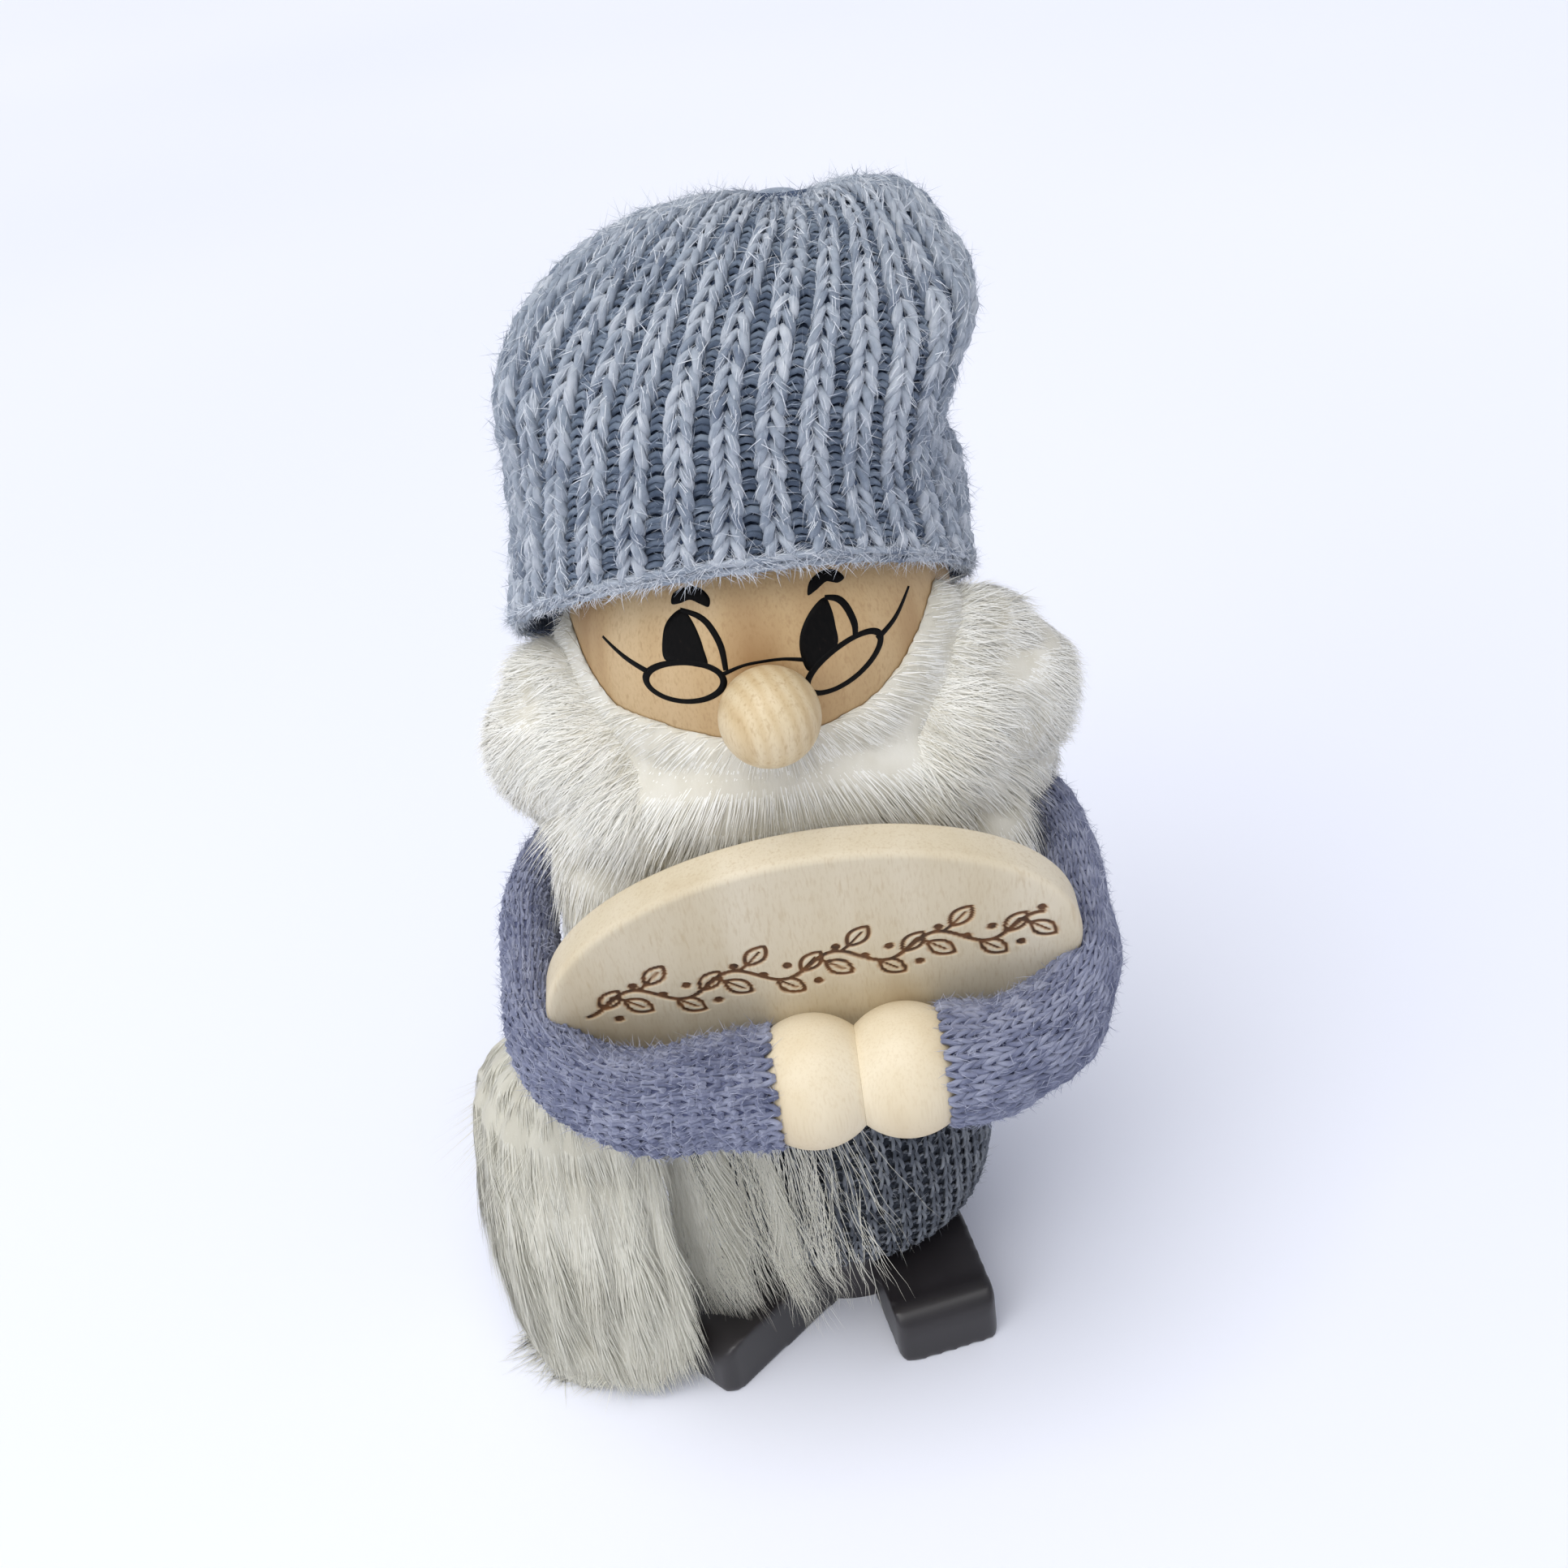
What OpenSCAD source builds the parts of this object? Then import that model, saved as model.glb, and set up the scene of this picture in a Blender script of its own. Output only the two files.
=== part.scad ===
// Wooden tomte figurine with a knitted hat and sweater, a wool beard and an oval greeting plate.
// The figure faces -Y and stands on z = 0. Right and left are the figure's own: its right is -X.
// Sizes are in millimetres. Places are measured from the body's turning axis, and place() then
// moves the whole figure so that the origin is under the middle of its outline.

/* [Body] */
// Widest radius of the turned wooden body
belly_r = 26; // [22:0.5:31]
// Height of the widest place of the body above the floor
belly_z = 30; // [26:1:34]
// Radius of the body at the neck
neck_r = 11.5; // [9:0.5:14]
// Height of the body's top face, which the head stands on
neck_z = 109; // [96:1:114]
// Radius of the body's flat underside
seat_r = 20; // [19:0.5:21.5]

/* [Base and shoes] */
// Radius of the round base block
base_r = 17; // [15:0.5:18]
// Height of the base block
base_h = 16; // [15:0.5:19]
// Length of a shoe from the base block's middle to the toe
shoe_l = 34; // [30:1:42]
// Width of a shoe
shoe_w = 18; // [14:0.5:20]
// Height of the toe
toe_h = 11; // [8:0.5:12]
// Rounding of the toe's upper edge
toe_round = 4.5; // [2:0.5:6]
// Rounding of the shoe's upright corners
shoe_corner = 2.5; // [1:0.5:4]
// Turn of the left shoe outwards, in degrees
left_shoe_turn = 12; // [8:1:30]
// Turn of the right shoe outwards, in degrees
right_shoe_turn = 47; // [35:1:60]
// Distance of the left shoe's middle line from the base block's middle
left_shoe_side = 8.6; // [7:0.2:12]
// Distance of the right shoe's middle line from the base block's middle
right_shoe_side = -1; // [-4:0.2:6]
// How much longer the right shoe reaches
right_shoe_extra = 7.5; // [0:0.5:12]

/* [Head] */
// Radius of the head ball
head_r = 28.5; // [25:0.5:33]
// Height from the head's flat to the middle of the ball
head_up = 26; // [22:0.5:29]
// Radius of the nose ball
nose_r = 7; // [5:0.25:8.5]
// How far the nose sinks into the face
nose_sink = 2.5; // [1:0.25:4]

/* [Dowels and wire] */
// Radius of the neck dowel
neck_dowel_r = 4; // [2.5:0.25:5]
// Radius of the dowel between body and base
base_dowel_r = 5; // [3:0.25:7]
// Radius of the small dowels of the nose and the shoes
small_dowel_r = 2; // [1.25:0.25:2.5]
// Radius of the arm wire
wire_r = 1; // [0.8:0.1:1.5]
// Clearance of the arm wire in the body
wire_play = 0.05; // [0.02:0.01:0.1]
// Glue gap round a dowel or wire end
glue_gap = 0.02; // [0.01:0.01:0.1]
// Clearance between soft pieces and what they lie against
soft_gap = 0.4; // [0.3:0.05:0.8]

/* [Knitwear] */
// Thickness of the sweater's rib knit
sweater_t = 2; // [1.5:0.1:3]
// Thickness of the hat's rib knit
hat_t = 3.1; // [2.5:0.1:4.5]
// Thickness of the sleeves' knit
sleeve_t = 1.4; // [1:0.1:2]
// Room between the head ball and the inside of the hat
hat_room = 2.4; // [1.6:0.1:6]
// Height of the hat's crown above the middle of the head
hat_up = 60.5; // [50:0.5:72]
// Sideways lean of the hat's crown
hat_lean = 13; // [0:0.5:18]
// How far the crown's tip lies behind the middle of the hat
hat_back = 13; // [0:0.5:16]

/* [Arms] */
// Depth of the shoulders, where the wire passes through the body, below its top
shoulder_drop = 11; // [9:0.5:17]
// How far the line of the hands lies beyond the widest place of the sweater
arm_past_belly = 19.5; // [18:0.5:28]
// Fall of the arms below level, in degrees
arm_fall = 24.8; // [22:0.2:28]
// Half width of the ring that the arms make
arm_half = 43; // [42.5:0.5:47]
// Radius of the shoulder bend
shoulder_bend = 16; // [13:0.5:17]
// Radius of the front bend
front_bend = 20; // [17:0.5:21]
// Half width of a sleeve at the shoulder
sleeve_r0 = 4.8; // [4:0.1:5.2]
// Room between a hand ball and the inside of its cuff, at the cuff's edge
cuff_ease = 0.32; // [0.2:0.02:1.2]
// Radius of a hand ball
hand_r = 10; // [9:0.25:11]
// Distance between the middles of the two hands
hand_pitch = 13.7; // [12:0.1:16]
// Sideways place of the hands' seam
hand_side = 5.7; // [0:0.1:7]
// Depth of a hand ball inside its cuff, from the ball's middle to the cuff's edge
cuff_from_hand = 6.4; // [5:0.1:8]

/* [Plate] */
// Half length of the oval plate
plate_a = 39.8; // [34:0.2:40.4]
// Half height of the oval plate
plate_b = 25.2; // [20:0.2:25.6]
// Thickness of the plate
plate_t = 6.5; // [4:0.25:7]
// Forward lean of the plate's top, in degrees
plate_lean = 10.4; // [8:0.2:14]
// Turn of the plate in its own plane, in degrees
plate_turn = 5.5; // [0:0.5:8]
// Height of the plate's middle above the middle of the hands
plate_up = 11.5; // [8:0.25:13]
// Sideways place of the plate's middle
plate_side = 0.8; // [-1:0.1:1]
// Width of the glue flat's offset from the middle of a hand ball
plate_from_hand = 9.3; // [8.5:0.1:9.8]

/* [Wool] */
// Sideways reach of the beard's long fall
fall_reach = 63; // [58:0.5:68]
// Radius of a cheek puff
cheek_r = 13.5; // [11:0.5:14]
// Sideways place of a cheek puff's middle
cheek_side = 30.5; // [30:0.5:33]

/* [Hidden] */
$fn = 64;
wool_n = 20;
RIGHT = -1;
LEFT = 1;
head_z = neck_z + head_up;
hat_r = head_r + hat_room + hat_t;
shoulder_z = neck_z - shoulder_drop;
arm_reach = belly_r + sweater_t + arm_past_belly;
sleeve_r1 = sqrt(hand_r * hand_r - cuff_from_hand * cuff_from_hand) + cuff_ease + sleeve_t;
nose_y = -(head_r + nose_r - nose_sink);
crown_z = head_z + hat_up;
hand_y = -arm_reach * cos(arm_fall);
hand_z = shoulder_z - arm_reach * sin(arm_fall);
// The arms' middle line: a level start, a shoulder bend, a straight, a front bend and a last straight
arm_straight = arm_reach - shoulder_bend - front_bend;
shoulder_x = arm_half - shoulder_bend;
front_x = arm_half - front_bend;
sleeve_x = body_r(shoulder_z - 3 * sleeve_r0 / 2) + sweater_t + soft_gap + 1;
len_0 = shoulder_x - sleeve_x;
len_1 = shoulder_bend * PI / 2;
len_2 = arm_straight;
sleeve_rows = 20;
// Outline of the whole figure, which sets where the axis stands
arm_out = max([for (k = [0:sleeve_rows]) let (p = arm_at(k / sleeve_rows * arm_length(LEFT)))
    p[0] + sleeve_w(k / sleeve_rows) * sin(p[2])]);
front_out = -hand_y + hand_r;
back_y = 3;
back_out = back_y + hat_depth(0);
axis_x = (fall_reach - arm_out) / 2;
axis_y = (front_out - back_out) / 2;

module place() {
    translate([axis_x, axis_y, 0]) children();
}

// ---- Rings: closed soft solids made from rows of points ----

// Faces between rows a and a + 1 of n points; flip turns them to face inwards
function band(a, n, flip) = [for (i = [0:n - 1]) let (
    p = a * n + i, q = a * n + (i + 1) % n, r = p + n, s = q + n)
    flip ? [p, r, s, q] : [p, q, s, r]];

// Closed solid with an outer and an inner skin, open at both ends: rows run outside, then back inside
module tube_of(rows) {
    n = len(rows[0]);
    m = len(rows);
    pts = [for (r = rows) for (p = r) p];
    closing = [for (i = [0:n - 1]) [(m - 1) * n + i, (m - 1) * n + (i + 1) % n, (i + 1) % n, i]];
    polyhedron(pts, concat([for (a = [0:m - 2]) each band(a, n, false)], closing), convexity = 6);
}

// Closed bowl: outer rows from the rim up to a tip, inner rows from the rim up to an inner tip
module bowl_of(outer, tip, inner, inner_tip) {
    n = len(outer[0]);
    rows = concat([for (k = [len(inner) - 1:-1:0]) inner[k]], outer);
    m = len(rows);
    pts = concat([for (r = rows) for (p = r) p], [tip, inner_tip]);
    top = [for (i = [0:n - 1]) [(m - 1) * n + i, (m - 1) * n + (i + 1) % n, m * n]];
    under = [for (i = [0:n - 1]) [(i + 1) % n, i, m * n + 1]];
    polyhedron(pts, concat([for (a = [0:m - 2]) each band(a, n, false)], top, under), convexity = 6);
}

// ---- Wooden body, base and shoes ----

// Radius of the wooden body at height z
function body_r(z) = z >= belly_z
    ? neck_r + (belly_r - neck_r) * cos(90 * (z - belly_z) / (neck_z - belly_z))
    : seat_r + (belly_r - seat_r) * sqrt(1 - pow((belly_z - z) / (belly_z - base_h), 2));

// Outline of the body, grown sideways by g, from its underside up to row top
body_rows = 28;
function body_line(g, top) = [for (k = [0:top]) let (z = base_h + (neck_z - base_h) * k / body_rows)
    [body_r(z) + g, z]];

base_hole = 11;
hem_z = base_h - 2.5;
neck_hole_body = 8;
neck_hole_head = 12;

module body() {
    color("burlywood") place() difference() {
        rotate_extrude() polygon(concat([[0, base_h]], body_line(0, body_rows), [[0, neck_z]]));
        translate([0, 0, base_h - 1]) cylinder(h = base_hole + 1, r = base_dowel_r + glue_gap);
        translate([0, 0, neck_z - neck_hole_body])
            cylinder(h = neck_hole_body + 1, r = neck_dowel_r + glue_gap);
        translate([0, 0, shoulder_z]) rotate([0, 90, 0])
            cylinder(h = 4 * belly_r, r = wire_r + wire_play, center = true);
    }
}

module base_dowel() {
    color("tan") place() translate([0, 0, base_h - base_hole + 1])
        cylinder(h = 2 * base_hole - 2, r = base_dowel_r);
}

module neck_dowel() {
    color("tan") place() translate([0, 0, neck_z - neck_hole_body + 0.5])
        cylinder(h = neck_hole_body + neck_hole_head - 1, r = neck_dowel_r);
}

shoe_dowel_z = 5.5;
shoe_dowel_l = 16;
shoe_dowel_in = base_r - shoe_dowel_l / 2;

function shoe_turn(side) = side == RIGHT ? -right_shoe_turn : left_shoe_turn;
function shoe_side(side) = side == RIGHT ? -right_shoe_side : left_shoe_side;
function shoe_reach(side) = side == RIGHT ? shoe_l + right_shoe_extra : shoe_l;

// Puts a shoe's own frame, with the toe towards -Y, under the figure
module shoe_frame(side) {
    place() rotate([0, 0, shoe_turn(side)]) translate([shoe_side(side), 0, 0]) children();
}

module shoe_dowel_rod(side, r, grow) {
    shoe_frame(side) translate([0, -shoe_dowel_in + grow, shoe_dowel_z]) rotate([90, 0, 0])
        cylinder(h = shoe_dowel_l + 2 * grow, r = r);
}

module base_block() {
    color("black") difference() {
        place() cylinder(h = base_h, r = base_r);
        place() translate([0, 0, base_h - base_hole])
            cylinder(h = base_hole + 1, r = base_dowel_r + glue_gap);
        shoe_dowel_rod(RIGHT, small_dowel_r + glue_gap, 0.5);
        shoe_dowel_rod(LEFT, small_dowel_r + glue_gap, 0.5);
    }
}

// Side view of a shoe: flat sole, rounded toe and an instep that rises to the base block
instep_h = hem_z - soft_gap;
instep_l = 11;
module shoe_side_view(reach) {
    square([reach - 0.01, toe_h - toe_round]);
    square([reach - toe_round, toe_h]);
    translate([reach - toe_round, toe_h - toe_round]) circle(r = toe_round);
    polygon([[0, toe_h - 1], [base_r + instep_l, toe_h - 1], [base_r + instep_l, toe_h],
        [base_r, instep_h], [0, instep_h]]);
}

// Top view of a shoe with rounded corners at the toe
module shoe_top_view(reach) {
    w = shoe_w / 2;
    c = shoe_corner;
    translate([-w, -reach + c]) square([shoe_w, reach - c]);
    translate([-w + c, -reach]) square([shoe_w - 2 * c, c + 1]);
    for (s = [-1, 1]) translate([s * (w - c), -reach + c]) circle(r = c);
}

module shoe(side) {
    reach = shoe_reach(side);
    color("black") difference() {
        shoe_frame(side) intersection() {
            linear_extrude(base_h) shoe_top_view(reach);
            rotate([90, 0, -90]) linear_extrude(2 * shoe_w, center = true) shoe_side_view(reach);
        }
        place() translate([0, 0, -1]) cylinder(h = base_h + 2, r = base_r + glue_gap);
        shoe_frame(side) translate([0, base_r + 20, 0])
            cube([4 * shoe_w, 2 * (base_r + 20), 4 * base_h], center = true);
        shoe_dowel_rod(side, small_dowel_r + glue_gap, 0.5);
    }
}

module shoe_right() {
    shoe(RIGHT);
}

module shoe_left() {
    shoe(LEFT);
}

module shoe_dowel_right() {
    color("tan") shoe_dowel_rod(RIGHT, small_dowel_r, 0);
}

module shoe_dowel_left() {
    color("tan") shoe_dowel_rod(LEFT, small_dowel_r, 0);
}

// ---- Head and nose ----

nose_hole = 6;

module nose_rod(r, grow) {
    place() translate([0, nose_y + nose_hole / 2 - grow - nose_hole, head_z]) rotate([-90, 0, 0])
        cylinder(h = 2 * nose_hole + nose_r / 2 + 2 * grow, r = r);
}

module head() {
    color("navajowhite") difference() {
        place() translate([0, 0, head_z]) sphere(r = head_r);
        place() translate([0, 0, neck_z - 2 * head_r])
            cylinder(h = 2 * head_r, r = 2 * head_r);
        place() translate([0, 0, neck_z - 1])
            cylinder(h = neck_hole_head + 1, r = neck_dowel_r + glue_gap);
        nose_rod(small_dowel_r + glue_gap, 0.3);
    }
}

module nose() {
    color("burlywood") difference() {
        place() translate([0, nose_y, head_z]) rotate([0, 0, 90]) sphere(r = nose_r);
        place() translate([0, 2 * nose_r - head_r - glue_gap, head_z])
            cube(4 * nose_r, center = true);
        nose_rod(small_dowel_r + glue_gap, 0.3);
    }
}

module nose_dowel() {
    color("tan") nose_rod(small_dowel_r, 0);
}

// ---- Sweater ----

sweater_rows = body_rows - 1;
sweater_gap = 0.15;
hem_in = base_r + soft_gap;
wire_slot_r = 3;

module sweater() {
    inner = body_line(sweater_gap, sweater_rows);
    outer = body_line(sweater_gap + sweater_t, sweater_rows);
    color("slategray") place() difference() {
        rotate_extrude() polygon(concat(
            [for (k = [sweater_rows:-1:0]) inner[k]],
            [[seat_r + sweater_gap, base_h - sweater_gap], [hem_in, base_h - sweater_gap],
                [hem_in, hem_z], [seat_r - 1, hem_z], [seat_r + 1.6, hem_z + 1]],
            [for (k = [1:sweater_rows]) outer[k]]));
        translate([0, 0, shoulder_z]) rotate([0, 90, 0])
            cylinder(h = 4 * belly_r, r = wire_slot_r, center = true);
    }
}

// ---- Hat: tilted brim, straight wall, domed crown that leans to the figure's left ----

hat_n = 32;
brim_z = head_z + 1;
brim_slope = 0.68;
wall_z = head_z + 35;
wall_rows = 6;
dome_rows = 7;
dome_power = 0.6;
hat_side = -1.5;

// Half depth of the hat at share t of the wall's height
function hat_depth(t) = hat_r - 2.5 - 2.5 * t;
function hat_width(t) = hat_r - 1.2 * t;
function hat_mid_y(t) = back_y - 2 * t;

// One row of the wall: the brim's tilted oval at t = 0 turns level at t = 1
function wall_row(t, inset) = [for (i = [0:hat_n - 1]) let (
    a = 360 * i / hat_n,
    y = hat_mid_y(t) + (hat_depth(t) - inset) * sin(a),
    z0 = brim_z - brim_slope * y)
    [hat_side + (hat_width(t) - inset) * cos(a), y, z0 + (wall_z - z0) * t]];

// Depth of a point of the crown, and how far the crown slopes down behind its top edge
crown_slope = 0.55;
crown_ease = 8;
function crown_y(f, inset, a, k) = hat_mid_y(1) + hat_back * pow(sin(f), 2)
    + (hat_depth(1) - inset) * k * sin(a);
function crown_drop(y) = crown_slope * (y + sqrt(y * y + crown_ease * crown_ease) - crown_ease) / 2;

// One row of the crown at angle f above the wall
function dome_row(f, inset) = [for (i = [0:hat_n - 1]) let (
    a = 360 * i / hat_n,
    k = pow(cos(f), dome_power))
    [hat_side + hat_lean * pow(sin(f), 2) + (hat_width(1) - inset) * k * cos(a),
        crown_y(f, inset, a, k),
        wall_z + (crown_z - wall_z - inset) * sin(f) - crown_drop(crown_y(f, inset, a, k)) * sin(f)]];

function hat_rows(inset) = concat(
    [for (k = [0:wall_rows - 1]) wall_row(k / wall_rows, inset)],
    [for (k = [0:dome_rows]) dome_row(80 * k / dome_rows, inset)]);

function hat_tip(inset) = [hat_side + hat_lean, hat_mid_y(1) + hat_back,
    crown_z - inset - crown_drop(hat_mid_y(1) + hat_back)];

module hat() {
    color("lightsteelblue") place()
        bowl_of(hat_rows(0), hat_tip(0), hat_rows(hat_t), hat_tip(hat_t));
}

// Rows over the ball of the head, for the hollow under the hat's wadding
wadding_z = head_z + 16;
wadding_cap_r = head_r + soft_gap + 0.5;
function head_row(f) = [for (i = [0:hat_n - 1]) let (a = 360 * i / hat_n)
    [wadding_cap_r * cos(f) * cos(a), wadding_cap_r * cos(f) * sin(a),
        head_z + wadding_cap_r * sin(f)]];

module hat_wadding() {
    inset = hat_t + soft_gap;
    low = asin((wadding_z - head_z) / wadding_cap_r);
    foot = [for (p = wall_row(0.75, inset)) [p[0], p[1], wadding_z]];
    color("white") place() bowl_of(
        concat([foot], [for (k = [0:dome_rows]) dome_row(80 * k / dome_rows, inset)]), hat_tip(inset),
        [for (k = [0:5]) head_row(low + (88 - low) * k / 5)], [0, 0, head_z + wadding_cap_r]);
}

// ---- Arms: a wire ring in a plane that falls forward from the shoulders ----

// Puts the arm plane's frame (x sideways, y forward, z out of the plane) in the figure
module arm_frame() {
    place() translate([0, 0, shoulder_z]) rotate([180 + arm_fall, 0, 0]) children();
}

function cuff_x(side) = side * hand_side + hand_pitch / 2 + cuff_from_hand;

// Length of the front bend and of the last straight up to the cuff
function bend_turn(side) = min(90, acos(max(0, (cuff_x(side) - front_x) / front_bend)));
function bend_end(side) = cuff_x(side) > front_x
    ? asin(min(1, (cuff_x(side) - front_x) / front_bend)) : 0;
function len_3(side) = front_bend * (90 - bend_end(side)) * PI / 180;
function len_4(side) = max(0, front_x - cuff_x(side));
function arm_length(side) = len_0 + len_1 + len_2 + len_3(side) + len_4(side);

// Point [x, y] and heading of the arm's middle line at distance s from the sleeve's start
function arm_at(s) = s <= len_0 ? [sleeve_x + s, 0, 0]
    : s <= len_0 + len_1 ? let (a = (s - len_0) / shoulder_bend * 180 / PI)
        [shoulder_x + shoulder_bend * sin(a), shoulder_bend * (1 - cos(a)), a]
    : s <= len_0 + len_1 + len_2 ? [arm_half, shoulder_bend + s - len_0 - len_1, 90]
    : let (d = s - len_0 - len_1 - len_2, a = min(90, d / front_bend * 180 / PI),
        rest = max(0, d - front_bend * PI / 2))
        [front_x + front_bend * cos(a) - rest, arm_reach - front_bend + front_bend * sin(a), 90 + a];

// Oval row of n points across the arm's middle line, w wide in the arms' plane and h high, both halved
function arm_row(side, s, w, h, n) = let (p = arm_at(s)) [for (i = [0:n - 1]) let (a = 360 * i / n)
    [side * (p[0] + w * cos(a) * sin(p[2])), p[1] - w * cos(a) * cos(p[2]), side * h * sin(a)]];

// Half width and half height of a sleeve at share t of its length
function sleeve_w(t) = sleeve_r0 + (sleeve_r1 - sleeve_r0) * pow(t, 2.2);
function sleeve_h(t) = sleeve_r0 + 1 + (sleeve_r1 - sleeve_r0 - 1) * pow(sin(90 * t), 1.2);

sleeve_n = 24;
sleeve_gap = 0.15;

function arm_t(s0, s1) = [for (k = [0:sleeve_rows]) s0 + (s1 - s0) * k / sleeve_rows];
function turned(list) = [for (k = [len(list) - 1:-1:0]) list[k]];

// Room that the plate presses into the soft sleeves
module plate_dent() {
    plate_frame() translate([0, 0, -plate_t - sleeve_gap]) linear_extrude(plate_t + 2 * sleeve_gap)
        plate_outline(sleeve_gap);
}

module sleeve(side) {
    span = arm_length(side);
    shares = arm_t(0, 1);
    color("lightslategray") difference() {
        arm_frame() tube_of(concat(
            [for (t = shares) arm_row(side, t * span, sleeve_w(t), sleeve_h(t), sleeve_n)],
            [for (t = turned(shares))
                arm_row(side, t * span, sleeve_w(t) - sleeve_t, sleeve_h(t) - sleeve_t, sleeve_n)]));
        plate_dent();
    }
}

module sleeve_right() {
    sleeve(RIGHT);
}

module sleeve_left() {
    sleeve(LEFT);
}

// The wadding stops short of the hand ball inside the cuff
wadding_end = 0.9;

wadding_n = 16;

module arm_wadding(side) {
    span = arm_length(side);
    shares = arm_t(0.02, wadding_end);
    out = sleeve_t + 2 * sleeve_gap;
    in = wire_r + sleeve_gap;
    color("white") difference() {
        arm_frame() tube_of(concat(
            [for (t = shares) arm_row(side, t * span, sleeve_w(t) - out, sleeve_h(t) - out, wadding_n)],
            [for (t = turned(shares)) arm_row(side, t * span, in, in, wadding_n)]));
        plate_dent();
    }
}

module arm_wadding_right() {
    arm_wadding(RIGHT);
}

module arm_wadding_left() {
    arm_wadding(LEFT);
}

// Quarter bend of the wire, from heading +X to heading +Y, starting at the origin
module wire_bend(r) {
    translate([0, r, 0]) rotate([0, 0, -90]) rotate_extrude(angle = 90) translate([r, 0])
        circle(r = wire_r);
}

wire_in_hand = 2;

module wire_half(side) {
    mirror([side == RIGHT ? 1 : 0, 0, 0]) {
        rotate([0, 90, 0]) cylinder(h = shoulder_x, r = wire_r);
        translate([shoulder_x, 0, 0]) wire_bend(shoulder_bend);
        translate([arm_half, shoulder_bend, 0]) rotate([-90, 0, 0])
            cylinder(h = arm_straight, r = wire_r);
        translate([arm_half, shoulder_bend + arm_straight, 0]) rotate([0, 0, 90])
            wire_bend(front_bend);
        end_x = side * hand_side + hand_pitch / 2 - wire_in_hand;
        translate([end_x, arm_reach, 0]) rotate([0, 90, 0])
            cylinder(h = front_x - end_x, r = wire_r);
    }
}

module arm_wire() {
    color("silver") arm_frame() {
        wire_half(RIGHT);
        wire_half(LEFT);
    }
}

// ---- Hands and plate ----

plate_mid_y = hand_y + plate_from_hand * cos(plate_lean) - plate_up * sin(plate_lean);
plate_mid_z = hand_z + plate_from_hand * sin(plate_lean) + plate_up * cos(plate_lean);

// Puts the plate's frame (x along it, y up it, z out of its front face) in the figure
module plate_frame() {
    place() translate([plate_side, plate_mid_y, plate_mid_z]) rotate([90 + plate_lean, 0, 0])
        rotate([0, 0, plate_turn]) children();
}

module plate_outline(grow) {
    polygon([for (a = [0:3:357]) [(plate_a + grow) * cos(a), (plate_b + grow) * sin(a)]]);
}

module plate() {
    color("wheat") plate_frame() translate([0, 0, -plate_t]) linear_extrude(plate_t)
        plate_outline(0);
}

// Ball with a flat towards the other hand, a glue flat on the plate and a hole for the wire end
module hand(side) {
    color("blanchedalmond") difference() {
        place() translate([hand_side + side * hand_pitch / 2, hand_y, hand_z])
            rotate([0, 90, 0]) sphere(r = hand_r);
        place() translate([hand_side - side * (2 * hand_r - glue_gap / 2), hand_y, hand_z])
            cube(4 * hand_r, center = true);
        plate_frame() translate([0, 0, glue_gap - 4 * hand_r]) linear_extrude(4 * hand_r)
            square(8 * hand_r, center = true);
        arm_frame() translate([hand_side + side * (hand_pitch / 2 - wire_in_hand - 0.3), arm_reach, 0])
            rotate([0, side * 90, 0]) cylinder(h = 2 * hand_r, r = wire_r + glue_gap);
    }
}

module hand_right() {
    hand(RIGHT);
}

module hand_left() {
    hand(LEFT);
}

// ---- Wool: cheek puffs, chin and the long fall to the figure's right ----

cheek_z = head_z - 16.5;
cheek_y = -5;

module cheek_puff(side, grow) {
    hull() {
        translate([side * cheek_side, cheek_y, cheek_z]) sphere(r = cheek_r + grow, $fn = wool_n);
        translate([side * (cheek_side - 5), cheek_y - 9, cheek_z + 2])
            sphere(r = cheek_r - 4 + grow, $fn = wool_n);
    }
}

module cheek_wool(side) {
    color("ivory") place() difference() {
        cheek_puff(side, 0);
        translate([0, 0, head_z]) sphere(r = head_r + soft_gap);
        translate([0, 0, neck_z - 40]) cylinder(h = 40, r = neck_r + 5);
    }
}

module cheek_wool_right() {
    cheek_wool(RIGHT);
}

module cheek_wool_left() {
    cheek_wool(LEFT);
}

fall_r = 13;
fall_x = fall_reach - fall_r * cos(180 / wool_n);
// Middles and radii of the balls that the chin, the bib and the two locks are swept through
chin = [[18, -21, head_z - 19, 6.5], [9, -23, head_z - 18, 8], [-9, -23, head_z - 18, 8],
    [-18, -21, head_z - 19, 6.5]];
bib = [[13, -22, head_z - 29, 6], [0, -23.5, head_z - 33, 6], [-13, -22, head_z - 30, 6]];
side_lock = [[-18, -21, head_z - 19, 6], [-25, -17, 92, 4.5], [-28.5, -16, 78, 5],
    [-38, -14, 62, 8], [-fall_x, -12, 44, fall_r], [-fall_x, -15, 25, 12], [-fall_x - 2, -20, 8, 7.5]];
front_lock = [[-28.5, -16, 78, 5], [-33, -23, 60, 6.5], [-33, -31, 42, 7], [-33, -34, 26, 6],
    [-40, -30, 12, 6]];

module sweep_of(balls) {
    for (k = [0:len(balls) - 2]) hull() for (b = [balls[k], balls[k + 1]])
        translate([b[0], b[1], b[2]]) sphere(r = b[3], $fn = wool_n);
}

// Room in front of the chin for the plate to swing up
chin_front = 29.8;

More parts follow.
